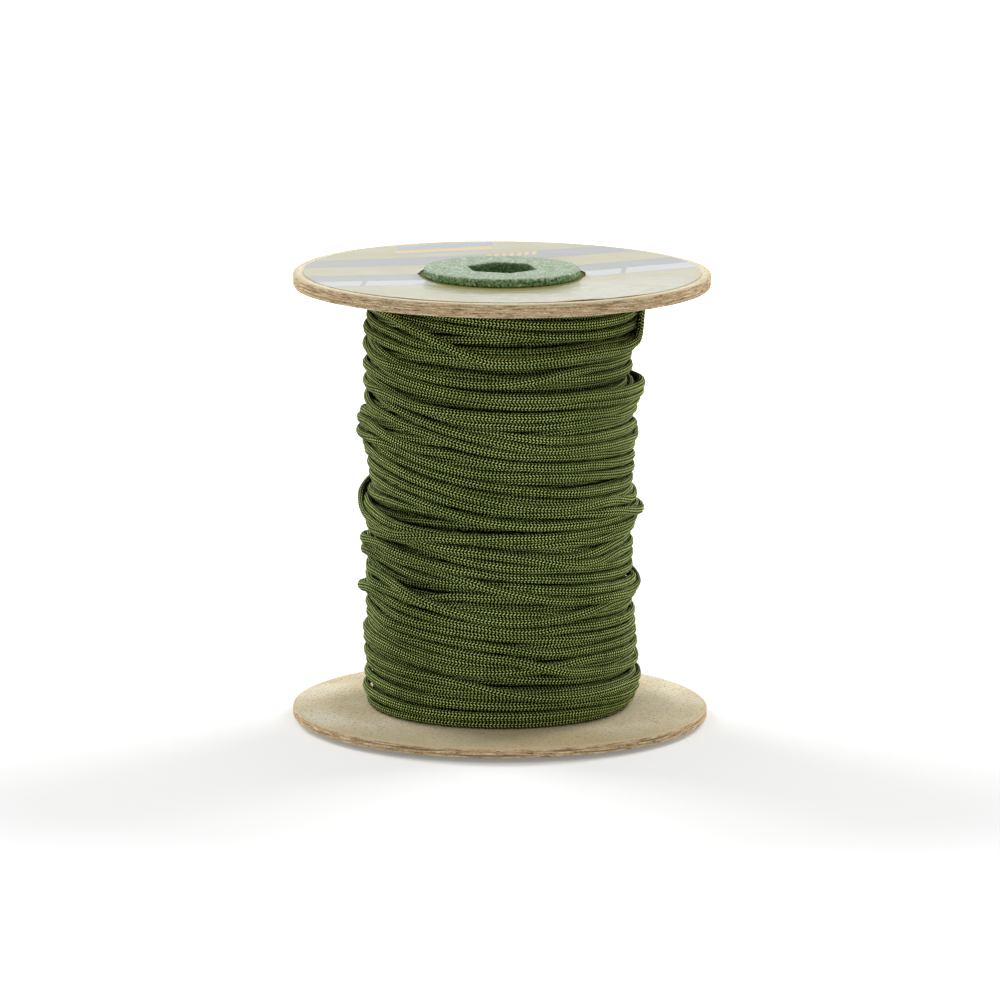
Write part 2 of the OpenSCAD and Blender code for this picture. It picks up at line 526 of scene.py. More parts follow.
@dataclass(frozen=True)
class HubFinish:
    """Grainy green moulding, paler on the faces that face along the axis, with painted shade inside the bore.
    """

    deep: Colour = srgb(56, 94, 42)
    green: Colour = srgb(130, 168, 108)
    dull: Colour = srgb(100, 136, 84)
    end_pale: Colour = srgb(152, 170, 142)
    speck: Colour = srgb(222, 227, 210)
    bore_r: float = 10.4 * MM
    bore_soft: float = 0.6 * MM

    def material(self) -> bpy.types.Material:
        """Build the hubs' material.

        Returns:
            The material.
        """
        g = Graph(bpy.data.materials.new("hub_moulding"))
        where = g.place()
        x, y, _ = g.split(where)
        _, _, nz = g.facing()
        grain = g.noise(where, scale=1500, detail=2, roughness=0.6)
        lumps = g.noise(where, scale=420, detail=2, roughness=0.5)
        mottle = grain + (lumps - 0.5) * 0.35
        side = g.mix(grain.rise(0.38, 0.54), self.deep, self.green)
        side = g.mix(mottle.rise(0.57, 0.66) * 0.75, side, self.speck)
        # painted shade inside the bore
        side = g.mix(g.radius(x, y).rise(self.bore_r + self.bore_soft, self.bore_r) * 0.6, side, self.deep)
        top = g.mix(mottle.rise(0.38, 0.5), self.dull, self.end_pale)
        top = g.mix(mottle.rise(0.57, 0.63), top, self.speck)
        return g.finish(
            base_color=g.mix(abs(nz).rise(0.55, 0.92), side, top),
            roughness=grain * 0.3 + 0.3,
            specular_ior_level=0.45,
            normal=g.bump(grain + lumps * 0.5, 0.3 * MM, 0.9),
        )


@dataclass(frozen=True)
class LabelFinish:
    """Glossy printed paper: cream, with two grey bands, and plain bars on them."""

    paper: Colour = srgb(193, 189, 153)
    paper_warm: Colour = srgb(185, 179, 139)
    band: Colour = srgb(162, 165, 164)
    bar: Colour = srgb(202, 206, 204)
    accent: Colour = srgb(226, 190, 112)
    patch: Colour = srgb(160, 174, 190)
    worn: Colour = srgb(214, 216, 213)
    # painted olive reflection and shadow of the green collar, in front of it
    collar_reflection: Colour = srgb(108, 98, 28)
    turn: float = math.radians(21)
    slant: float = 0.45
    upper_band: Span = (22.5 * MM, 34.5 * MM)
    lower_band: Span = (-11 * MM, 9 * MM)
    white_bars: Span = (-10.2 * MM, -1.6 * MM)
    white_bar_pitch: float = 37.9 * MM
    white_bar_start: float = -1.2 * MM
    accent_bars: Span = (29.0 * MM, 33.6 * MM)
    accent_ends: Span = (-7.2 * MM, 8.4 * MM)
    accent_bar_pitch: float = 2.25 * MM
    patch_ends: Span = (-34.5 * MM, -6 * MM)
    patch_height: Span = (39 * MM, 51 * MM)
    patch_stripe: Span = (41.2 * MM, 45.6 * MM)
    reflection_r: float = 30.4 * MM
    reflection_soft: float = 2.6 * MM
    soft: float = 0.12 * MM

    def material(self) -> bpy.types.Material:
        """Build the label's material.

        Returns:
            The material.
        """
        g = Graph(bpy.data.materials.new("label_paper"))
        where = g.place()
        x, y, _ = g.split(where)
        cos, sin = math.cos(self.turn), math.sin(self.turn)
        along, across = x * cos + y * sin, y * cos - x * sin
        clouds = g.noise(where, scale=90, detail=3, roughness=0.5)
        grain = g.noise(where, scale=700, detail=3, roughness=0.5)
        colour = g.mix(clouds.rise(0.35, 0.65), self.paper, self.paper_warm)
        colour = self.printed(g, colour, along - across * self.slant, across)
        scuffs = g.noise(g.join(along, across * 6.0, 0.0), scale=210, detail=5, roughness=0.7)
        wear_and_shade = across.rise(-16 * MM, -27 * MM) * along.within(-24 * MM, 44 * MM, 7 * MM)
        colour = g.mix(scuffs.rise(0.47, 0.58) * wear_and_shade * 0.85, colour, self.worn)
        # painted olive reflection and shadow of the collar, in front of it
        reflection_reach = g.radius(x, y) + (clouds - 0.5) * (5 * MM)
        reflected = reflection_reach.rise(self.reflection_r, self.reflection_r - self.reflection_soft) * y.rise(-14 * MM, -24 * MM)
        return g.finish(
            base_color=g.mix(reflected * 0.7, colour, self.collar_reflection),
            roughness=(grain * 0.1 + 0.14).most(reflected),
            specular_ior_level=0.33,
            normal=g.bump(grain * 0.4 + clouds * 3.0, 0.02 * MM, 0.3),
        )

    def printed(self, g: Graph, paper: Wire, leaning: Wire, across: Wire) -> Wire:
        """Print the bands, bars and patch on the paper.

        Args:
            g: The material's nodes.
            paper: Colour of the bare paper.
            leaning: Distance along the bands, for shapes whose ends lean.
            across: Distance across the bands.

        Returns:
            The printed paper.
        """
        def inside(value: Wire, ends: Span) -> Wire:
            """Be 1 between both ends."""
            return value.within(*ends, self.soft)

        bands = inside(across, self.upper_band).most(inside(across, self.lower_band))
        whites = self.bars(leaning, self.white_bar_pitch, 0.965, self.white_bar_start)
        marks = self.bars(leaning, self.accent_bar_pitch, 0.62, 0.0) * inside(across, self.accent_bars)
        patch = inside(leaning, self.patch_ends) * inside(across, self.patch_height)
        layers = (
            (bands, self.band),
            (whites * inside(across, self.white_bars), self.bar),
            (marks * inside(leaning, self.accent_ends), self.accent),
            (patch, self.patch),
            (patch * inside(across, self.patch_stripe), self.accent),
        )
        for shape, ink in layers:
            paper = g.mix(shape, paper, ink)
        return paper

    def bars(self, along: Wire, pitch: float, share: float, start: float) -> Wire:
        """Repeat a plain bar along a line.

        Args:
            along: Distance along the line.
            pitch: Distance from one bar to the next.
            share: Share of it that the bar takes.
            start: Where a bar starts.

        Returns:
            1 on a bar and 0 between two bars.
        """
        many = 100
        phase = ((along - (start - many * pitch)) / pitch).fract()
        return phase.within(self.soft / pitch, share, self.soft / pitch)


@dataclass(frozen=True)
class Braid:
    """Make of the flat braided line."""

    width: float = 2.55 * MM
    thickness: float = 2.1 * MM
    rows: int = 10
    stitch: float = 0.96 * MM
    slant: float = 0.8
    share: float = 0.66
    taper: float = 2.2
    relief: float = 0.16 * MM
    level: float = 0.6
    squareness: float = 2.05

    def section(self, angles: np.ndarray) -> tuple[np.ndarray, np.ndarray]:
        """Outline of the line's section.

        Args:
            angles: Angle of each place round the section.

        Returns:
            Distance across the line and out from its middle, at each place.
        """
        power = 2 / self.squareness
        cos, sin = np.cos(angles), np.sin(angles)
        across = self.width / 2 * np.sign(cos) * np.abs(cos) ** power
        out = self.thickness / 2 * np.sign(sin) * np.abs(sin) ** power
        return across, out

    def height(self, along: np.ndarray, around: np.ndarray) -> np.ndarray:
        """Height of the stitches.

        Args:
            along: Distance along the line, in stitches.
            around: Distance round the line, in rows.

        Returns:
            1 on a stitch's crown, and 0 in the groove between two stitches.
        """
        row = np.floor(around)
        side = around - row - 0.5
        lean = 1 - 2 * (row % 2)
        phase = (along + lean * self.slant * side) % 1 - 0.5
        return np.sqrt((1 - (2 * phase / self.share) ** 2).clip(0)) * (1 - self.taper * side**2)


@dataclass(frozen=True)
class BraidFinish:
    """Olive green braid, with painted highlights on its stitches' crowns, and painted shade in the grooves
    between them and where the line faces in towards the axis.
    """

    braid: Braid
    # painted highlight on the stitches' crowns
    crown: Colour = srgb(248, 255, 164)
    body: Colour = srgb(106, 154, 44)
    shade: Colour = srgb(19, 36, 7)
    # painted shade in the grooves between stitches
    groove: Colour = srgb(1, 2, 0)
    # painted shade where the line faces in towards the axis, more where it faces down
    inside: Colour = srgb(4, 7, 1)

    def stitches(self, g: Graph) -> Wire:
        """Work out the height of the stitches on the line's own map, as Braid.height does.

        Args:
            g: The material's nodes.

        Returns:
            1 on a stitch's crown, and 0 in the groove between two stitches.
        """
        along, around, _ = g.split(g.read("ShaderNodeUVMap", "UV", uv_map=BRAID_MAP))
        row = g.math("FLOOR", around)
        side = around - row - 0.5
        lean = 1.0 - g.math("MODULO", row, 2.0) * 2.0
        phase = (along + lean * self.braid.slant * side).fract() - 0.5
        hump = 1.0 - phase * phase * (4 / self.braid.share**2)
        return g.math("SQRT", hump.most(0.0)) * (1.0 - side * side * self.braid.taper)

    def outwards(self, g: Graph, where: Wire) -> Wire:
        """Work out how far the surface faces away from the axis, and a little how far it faces up.

        Args:
            g: The material's nodes.
            where: The place on the line.

        Returns:
            1 where it faces straight outwards.
        """
        x, y, _ = g.split(where)
        nx, ny, nz = g.facing()
        return (x * nx + y * ny) / g.radius(x, y) + nz * 0.3

    def material(self) -> bpy.types.Material:
        """Build the line's material, with painted shade where it faces in towards the axis, more so where it
        faces down.

        Returns:
            The material.
        """
        g = Graph(bpy.data.materials.new("braided_line"))
        where = g.place()
        height = self.stitches(g)
        mottle = g.noise(where, scale=900, detail=3, roughness=0.6)
        tone = g.noise(where, scale=60, detail=2, roughness=0.5)
        # painted shade in the grooves and on the stitches' flanks
        colour = g.mix(height.rise(0.25, 0.5), self.groove, self.shade)
        colour = g.mix(height.rise(0.5, 0.78), colour, self.body)
        # painted highlight on the crowns, broken up by noise
        colour = g.mix(height.rise(0.68, 0.92) * mottle.rise(0.25, 0.5), colour, self.crown)
        colour = g.mix(tone.rise(0.4, 0.7) * 0.2, colour, self.shade)
        # painted shade where the line faces in towards the axis, more where it faces down
        colour = g.mix(self.outwards(g, where).rise(0.85, 0.1) * 0.9, colour, self.inside)
        return g.finish(
            base_color=colour,
            roughness=0.85 - height * 0.35,
            specular_ior_level=0.04,
            normal=g.bump(height, 0.12 * MM, 0.8),
        )


@dataclass(frozen=True)
class FloorFinish:
    """Plain white paper under the spool, which looks whiter to the camera the further away it lies."""

    colour: Colour = (0.9, 0.9, 0.9, 1.0)
    distances: Span = (0.16, 0.7)
    glow: Span = (0.22, 1.0)

    def material(self) -> bpy.types.Material:
        """Build the floor's material.

        Returns:
            The material.
        """
        g = Graph(bpy.data.materials.new("white_paper"))
        x, y, _ = g.split(g.place())
        return g.finish(
            base_color=self.colour,
            roughness=0.9,
            specular_ior_level=0.2,
            emission_color=WHITE,
            emission_strength=g.looked_at() * g.radius(x, y).span(self.distances, self.glow),
        )


class Side(Enum):
    """Which flange and hub: the value is the way they face along the axis."""

    TOP = 1
    BOTTOM = -1


@dataclass
class Flange:
    """One flange, pasted from sheets of board and dished outwards at its rim."""

    side: Side
    material: bpy.types.Material
    steps: int = 600
    crush: float = 0.06 * MM
    corner: float = 0.2 * MM
    inner_corner: float = 0.45 * MM
    shoulder: float = 0.6 * MM
    least_straight: float = 0.2 * MM
    edge_width: float = 2 * MM
    opening_depth: float = 3.0 * MM
    openings: dict[Side, tuple[float, ...]] = field(default_factory=lambda: {
        Side.TOP: (0.0, 0.12 * MM, 0.2 * MM, 0.12 * MM),
        Side.BOTTOM: (0.0, 0.8 * MM, 0.3 * MM),
    })
    nodes: list[str] = field(init=False)
    rim_r: float = field(init=False)
    bore_r: float = field(init=False)
    flat_r: float = field(init=False)
    base_z: float = field(init=False)
    sheet: float = field(init=False)
    dish: float = field(init=False)

    def __post_init__(self) -> None:
        """Take the flange's sizes from the frame."""
        side = self.side.name.lower()
        self.nodes = sorted(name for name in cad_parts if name.startswith(f"{side}_flange_ply_"))
        self.bore_r, self.rim_r = reach(self.nodes[1])
        self.flat_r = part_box(f"{side}_hub")[1].x
        first, second = (self.span(name) for name in self.nodes[:2])
        self.base_z = first[0]
        self.sheet = abs(second[0] - first[0])
        self.dish = abs(second[1] - second[0]) - self.sheet

    def span(self, node: str) -> tuple[float, float]:
        """Heights of a sheet's inner face in its middle and of its outer edge, by the frame."""
        low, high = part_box(node)
        return (low.z, high.z) if self.side is Side.TOP else (high.z, low.z)

    def lift(self, radius: np.ndarray) -> np.ndarray:
        """How far a sheet stands outwards at a radius."""
        return self.dish * ((radius - self.flat_r) / (self.rim_r - self.flat_r)).clip(0)

    def build(self) -> list[bpy.types.Object]:
        """Build every sheet of the flange."""
        return [self.ply(index, node) for index, node in enumerate(self.nodes)]

    def outline(self, inner_round: float, outer_round: float) -> list[tuple[float, float]]:
        """Outline of one sheet's section, with more points where its edge is crushed.

        Args:
            inner_round: Radius of the corner on the sheet's inner face.
            outer_round: Radius of the corner on its outer face.

        Returns:
            Radius and height of each point.
        """
        rim, thick = self.rim_r, self.sheet
        straight = thick - inner_round - outer_round
        face = [self.bore_r, self.flat_r, rim - 8 * MM, rim - 3 * MM, rim - 1.6 * MM]
        turns = [math.pi / 2 * step / 5 for step in range(6)]
        low = [(rim - inner_round * (1 - math.sin(t)), inner_round * (1 - math.cos(t))) for t in turns]
        high = [
            (rim - outer_round * (1 - math.cos(t)), thick - outer_round * (1 - math.sin(t))) for t in turns
        ]
        shares = () if straight < self.least_straight else (0.25, 0.5, 0.75)
        between = [(rim, inner_round + straight * share) for share in shares]
        back = [(radius, thick) for radius in reversed(face)]
        return [(radius, 0.0) for radius in face] + low + between + high + back

    def ply(self, index: int, node: str) -> bpy.types.Object:
        """Build one sheet, with the crushed and parted edge that old pasted board has.

        Args:
            index: Number of the sheet, counted outwards from the line.
            node: The CAD node that it stands for.

        Returns:
            The piece.
        """
        rng = np.random.default_rng(40 + index + 10 * (self.side is Side.TOP))
        rim, thick = self.rim_r, self.sheet
        inner_round = self.inner_corner if index == 0 else self.corner
        outer_round = self.shoulder if index == len(self.nodes) - 1 else self.corner
        steps = self.steps
        mesh = spun_mesh(f"{node}_board", self.outline(inner_round, outer_round), steps)
        points = mesh_points(mesh)
        radius = np.hypot(points[:, 0], points[:, 1])
        angle = np.arctan2(points[:, 1], points[:, 0])
        level = points[:, 2] / thick
        at_rim = ((radius - (rim - self.edge_width)) / self.edge_width).clip(0, 1) ** 2
        moved = radius + at_rim * self.edge_shift(angle, level, rng)
        parted = ((radius - (rim - self.opening_depth)) / self.opening_depth).clip(0, 1)
        gap = self.openings[self.side][index] * self.parting(angle, rng) * parted
        height = points[:, 2] + gap * (1 - level).clip(0, 1)
        wave = ring_drift(angle, (2, 5), 0.06 * MM, np.random.default_rng(7 + (self.side is Side.TOP)))
        height += self.lift(radius) + wave * at_rim + index * self.sheet
        points[:, 0] = moved * np.cos(angle)
        points[:, 1] = moved * np.sin(angle)
        points[:, 2] = self.base_z + self.side.value * height
        move_points(mesh, points)
        if self.side is Side.BOTTOM:
            mesh.flip_normals()
        piece = place(f"{node}_board", mesh, self.material)
        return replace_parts(piece, node)

    def edge_shift(self, angle: np.ndarray, level: np.ndarray, rng: np.random.Generator) -> np.ndarray:
        """Work out how far the cut edge is out of true: crushed at its corners, and cut unevenly.

        Args:
            angle: Angle of each point.
            level: Its height in the sheet, from 0 to 1.
            rng: Source of the random numbers.

        Returns:
            The shift outwards of each point.
        """
        corner = np.abs(2 * level - 1).clip(0, 1) ** 3
        shift = -corner * (self.crush * (1 + ring_drift(angle, (20, 150), 0.6, rng)).clip(0, 3))
        shift += ring_drift(angle, (4, 30), 0.05 * MM, rng) + ring_drift(angle, (80, 230), 0.02 * MM, rng)
        return shift + ring_drift(angle + 25 * level, (50, 220), 0.022 * MM, rng)

    def parting(self, angle: np.ndarray, rng: np.random.Generator) -> np.ndarray:
        """Pick the stretches of the rim where a sheet has come away: 0 where it holds, and 1 at most."""
        return (ring_drift(angle, (2, 13), 1.0, rng) - 0.1).clip(0, 1.3) / 1.3


@dataclass
class Label:
    """The ring of printed paper on the upper flange."""

    flange: Flange
    material: bpy.types.Material
    node: str = "top_label"
    steps: int = 480
    thick: float = 0.2 * MM
    edge: float = 0.05 * MM
    cockle: float = 0.04 * MM
    curl_width: float = 1.6 * MM
    tear_width: float = 2.2 * MM
    torn_width: float = 14 * MM
    curls: tuple[tuple[float, float, float], ...] = (
        (math.radians(-66), math.radians(4), 0.28 * MM),
        (math.radians(-52), math.radians(3), 0.12 * MM),
        (math.radians(-118), math.radians(5), 0.1 * MM),
    )
    torn: tuple[tuple[float, float, float], ...] = (
        (math.radians(-90), math.radians(24), 5.4 * MM),
        (math.radians(-62), math.radians(14), 1.2 * MM),
        (math.radians(-122), math.radians(14), 0.8 * MM),
    )
    tears: tuple[tuple[float, float, float], ...] = (
        (math.radians(0), math.radians(16), 0.55 * MM),
        (math.radians(182), math.radians(24), 0.35 * MM),
    )

    def raised(self, angle: np.ndarray, places: tuple[tuple[float, float, float], ...]) -> np.ndarray:
        """Add up the curls or tears of an edge.

        Args:
            angle: Angle of each point.
            places: Angle, width and height of each curl or tear.

        Returns:
            How far the edge is moved at each point.
        """
        total = np.zeros(len(angle))
        for middle, wide, high in places:
            away = (angle - middle + math.pi) % (2 * math.pi) - math.pi
            total += high * np.exp(-0.5 * (away / wide) ** 2)
        return total

    def outline(self, inner: float, outer: float) -> list[tuple[float, float]]:
        """Outline of the paper's section, with more points near both edges.

        Args:
            inner: Radius of the hole.
            outer: Radius of the rim.

        Returns:
            Radius and height of each point.
        """
        edge, thick = self.edge, self.thick
        radii = [inner + edge, inner + 0.6 * MM, inner + 1.2 * MM, inner + 2 * MM]
        radii += list(np.linspace(inner + 3.5 * MM, outer - 2.5 * MM, 20))
        radii += [outer - 1.6 * MM, outer - 0.9 * MM, outer - 0.4 * MM, outer - edge]
        upper = [(radius, thick) for radius in radii] + [(outer, thick - edge), (outer, edge)]
        lower = [(radius, 0.0) for radius in reversed(radii)] + [(inner, edge), (inner, thick - edge)]
        return upper + lower

    def build(self) -> bpy.types.Object:
        """Build the label, which follows the flange's dish, cockles a little and curls up at its edges.

        Returns:
            The piece.
        """
        rng = np.random.default_rng(11)
        inner, outer = reach(self.node)
        mesh = spun_mesh("label_paper", self.outline(inner, outer), self.steps)
        points = mesh_points(mesh)
        radius = np.hypot(points[:, 0], points[:, 1])
        angle = np.arctan2(points[:, 1], points[:, 0])
        from_hole, from_rim = radius - inner, outer - radius
        start = self.flange.lift(np.array([inner]))[0]
        swell = np.sin(math.pi * (from_hole / (outer - inner)).clip(0, 1))
        top = (points[:, 2] > self.thick / 2) * swell
        cockles = self.cockle * (1 + ring_drift(angle + 30 * radius / outer, (3, 14), 0.8, rng)).clip(0, 3)
        points[:, 2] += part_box(self.node)[0].z - start + self.flange.lift(radius) + top * cockles
        points[:, 2] += self.raised(angle, self.curls) * (1 - from_rim / self.curl_width).clip(0, 1) ** 2
        points[:, 2] += self.raised(angle, self.tears) * (1 - from_hole / self.tear_width).clip(0, 1) ** 2
        ragged = ring_drift(angle, (30, 120), 0.04 * MM, rng) * (radius > outer - 1 * MM)
        ragged += ring_drift(angle, (12, 90), 0.12 * MM, rng) * (radius < inner + 1 * MM)
        ragged += self.raised(angle, self.torn) * (1 - from_hole / self.torn_width).clip(0)
        points[:, :2] *= (1 + ragged / radius)[:, None]
        move_points(mesh, points)
        piece = place("label_paper", mesh, self.material)
        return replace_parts(piece, self.node)


@dataclass
class Hub:
    """A hub, whose moulded edges are soft and whose skin is grainy."""

    side: Side
    material: bpy.types.Material
    voxel: float = 0.41 * MM
    grain: float = 0.045 * MM
    grain_size: float = 0.8 * MM

    def build(self) -> bpy.types.Object:
        """Remesh a copy of the CAD mesh finely, smooth its edges and roughen its skin.

        Returns:
            The piece.
        """
        node = f"{self.side.name.lower()}_hub"
        mesh = self.remeshed(node)
        bm = bmesh.new()
        bm.from_mesh(mesh)
        axes = {f"use_axis_{axis}": True for axis in "xyz"}
        bmesh.ops.smooth_vert(bm, verts=bm.verts, factor=0.5, **axes)
        bmesh.ops.recalc_face_normals(bm, faces=bm.faces)
        bm.normal_update()
        for vert in bm.verts:
            coarse, fine = (noise.noise(vert.co / (share * self.grain_size)) for share in (1.0, 0.45))
            vert.co += vert.normal * (coarse + 0.5 * fine) * self.grain
        bm.to_mesh(mesh)
        bm.free()
        piece = place(f"{node}_moulding", mesh, self.material)
        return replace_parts(piece, node)

    def remeshed(self, node: str) -> bpy.types.Mesh:
        """Remesh a copy of a CAD mesh in small even faces.

        Args:
            node: The CAD node.

        Returns:
            The new mesh.
        """
        bm = bmesh.new()
        bm.from_mesh(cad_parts[node].data)
        bmesh.ops.remove_doubles(bm, verts=bm.verts, dist=0.002 * MM)
        rough = bpy.data.meshes.new(f"{node}_rough")
        bm.to_mesh(rough)
        bm.free()
        carrier = bpy.data.objects.new(f"{node}_rough", rough)
        bpy.context.scene.collection.objects.link(carrier)
        remesh = carrier.modifiers.new("remesh", "REMESH")
        remesh.mode, remesh.voxel_size = "VOXEL", self.voxel
        graph = bpy.context.evaluated_depsgraph_get()
        mesh = bpy.data.meshes.new_from_object(carrier.evaluated_get(graph))
        mesh.name = f"{node}_moulding"
        bpy.data.objects.remove(carrier)
        return mesh


@dataclass(frozen=True)
class Pass:
    """One pass of the line along the drum.

    Args:
        way: 1 where it climbs, and -1 where it comes down.
        pitch: Mean distance between turns.
        jitter: How much that distance varies.
        wobble: How far the guiding hand strays.
        kicks: How many turns jump over their neighbours.
        lean: How far a turn's plane tilts, at the drum's surface.
        floor: Radius that the turns below have filled at least.
        foot: How much higher they have filled it next to the lower flange, on the left and on the right.
        head: The same next to the upper flange.
    """

    way: int
    pitch: float
    jitter: float
    wobble: float
    kicks: int
    lean: float
    floor: float
    foot: Span
    head: Span


@dataclass(frozen=True)
class Hand:
    """How unsteadily a hand guides the line. Widths along the line are in turns.

    Args:
        least_step: Least distance between two turns.
        step_at: Where in a turn the line steps over to the next place.
        step_width: Width of that step.
        step_share: Share of the way that is done in steps.
        lean_towards: Side towards which turns lean, as an angle to the right of the front.
        lean_change: How much the size of the lean changes.
        turn_change: How much the side changes that turns lean towards.
        twice: Share of the lean that comes twice in a turn.
        slow: Width over which the lean changes.
        stray: Width over which the hand strays.
        steady: Width next to a flange over which the hand is steadier.
        kick_margin: Width next to a flange without a kick.
        kick_width: Narrowest and widest kick.
        kick_size: Smallest and greatest kick, in millimetres.
    """

    least_step: float = 1.2 * MM
    step_at: float = 0.64
    step_width: float = 0.07
    step_share: float = 0.6
    lean_towards: float = math.radians(-98)
    lean_change: float = 0.25
    turn_change: float = math.radians(15)
    twice: float = 0.25
    slow: float = 2.0
    stray: float = 0.16
    steady: float = 9
    kick_margin: float = 3
    kick_width: Span = (0.22, 0.5)
    kick_size: Span = (2.0, 4.0)


class Drum:
    """The drum's surface as line is laid on it, as a radius over angles and heights.

    STATIONS is how many places it has round a turn, CELL is the distance between its rows, END is the
    share of its length that lies next to a flange, and ROUND is how square the line's section is.
    """

    STATIONS = 480
    CELL = 0.2 * MM
    END = 0.16
    ROUND = 2.2

    def __init__(self, low: float, high: float, radius: float, width: float, thickness: float) -> None:
        """Start a bare drum.

        Args:
            low: Lower end of the room between the flanges.
            high: Upper end of it.
            radius: Radius of the bare drum.
            width: Width that a turn takes up.
            thickness: Thickness that a turn adds.
        """
        self.low, self.high = low + width / 2, high - width / 2
        self.origin = low
        self.rows = int((high - low) / self.CELL) + 1
        self.radius = np.full((self.STATIONS, self.rows), radius)
        half = int(width / 2 / self.CELL)
        self.offsets = np.arange(-half, half + 1)
        share = np.abs(2 * self.offsets * self.CELL / (width + self.CELL / 2))
        self.crown = thickness / 2 * (1 - share**self.ROUND).clip(0) ** (1 / self.ROUND)

    def rest(self, stations: np.ndarray, heights: np.ndarray) -> np.ndarray:
        """Radius at which the line's middle would lie on what is there.

        Args:
            stations: Number of each station, counted along the line.
            heights: Height of the line there.

        Returns:
            The radius at each station.
        """
        cell = (heights - self.origin) / self.CELL
        first = np.floor(cell).astype(int)
        part = cell - first
        turn = stations % self.STATIONS
        highest = np.zeros(len(heights))
        for offset, crown in zip(self.offsets, self.crown):
            a = np.clip(first + offset, 0, self.rows - 1)
            b = np.clip(first + offset + 1, 0, self.rows - 1)
            surface = self.radius[turn, a] * (1 - part) + self.radius[turn, b] * part
            highest = np.maximum(highest, surface + crown)
        return highest

    def fill(self, laid: Pass) -> None:
        """Fill the hollows before a pass, as the turns below it that aren't modelled do.

        Args:
            laid: The pass that will be laid.
        """
        side = np.sin(2 * math.pi * np.arange(self.STATIONS) / self.STATIONS)[:, None]
        level = np.arange(self.rows)[None, :] / (self.rows - 1)
        for swell, away in ((laid.foot, level), (laid.head, 1 - level)):
            near = (1 - away / self.END).clip(0)
            filled = laid.floor + (swell[1] * (1 + side) + swell[0] * (1 - side)) / 2 * near * (2 - near)
            np.maximum(self.radius, filled, out=self.radius)

    def cover(self, stations: np.ndarray, heights: np.ndarray, radii: np.ndarray) -> None:
        """Add a stretch of line to the surface.

        Args:
            stations: Number of each station.
            heights: Height of the line there.
            radii: Radius of the line's middle there.
        """
        cell = np.rint((heights - self.origin) / self.CELL).astype(int)
        turn = stations % self.STATIONS
        for offset, crown in zip(self.offsets, self.crown):
            at = np.clip(cell + offset, 0, self.rows - 1)
            np.maximum.at(self.radius, (turn, at), radii + crown)


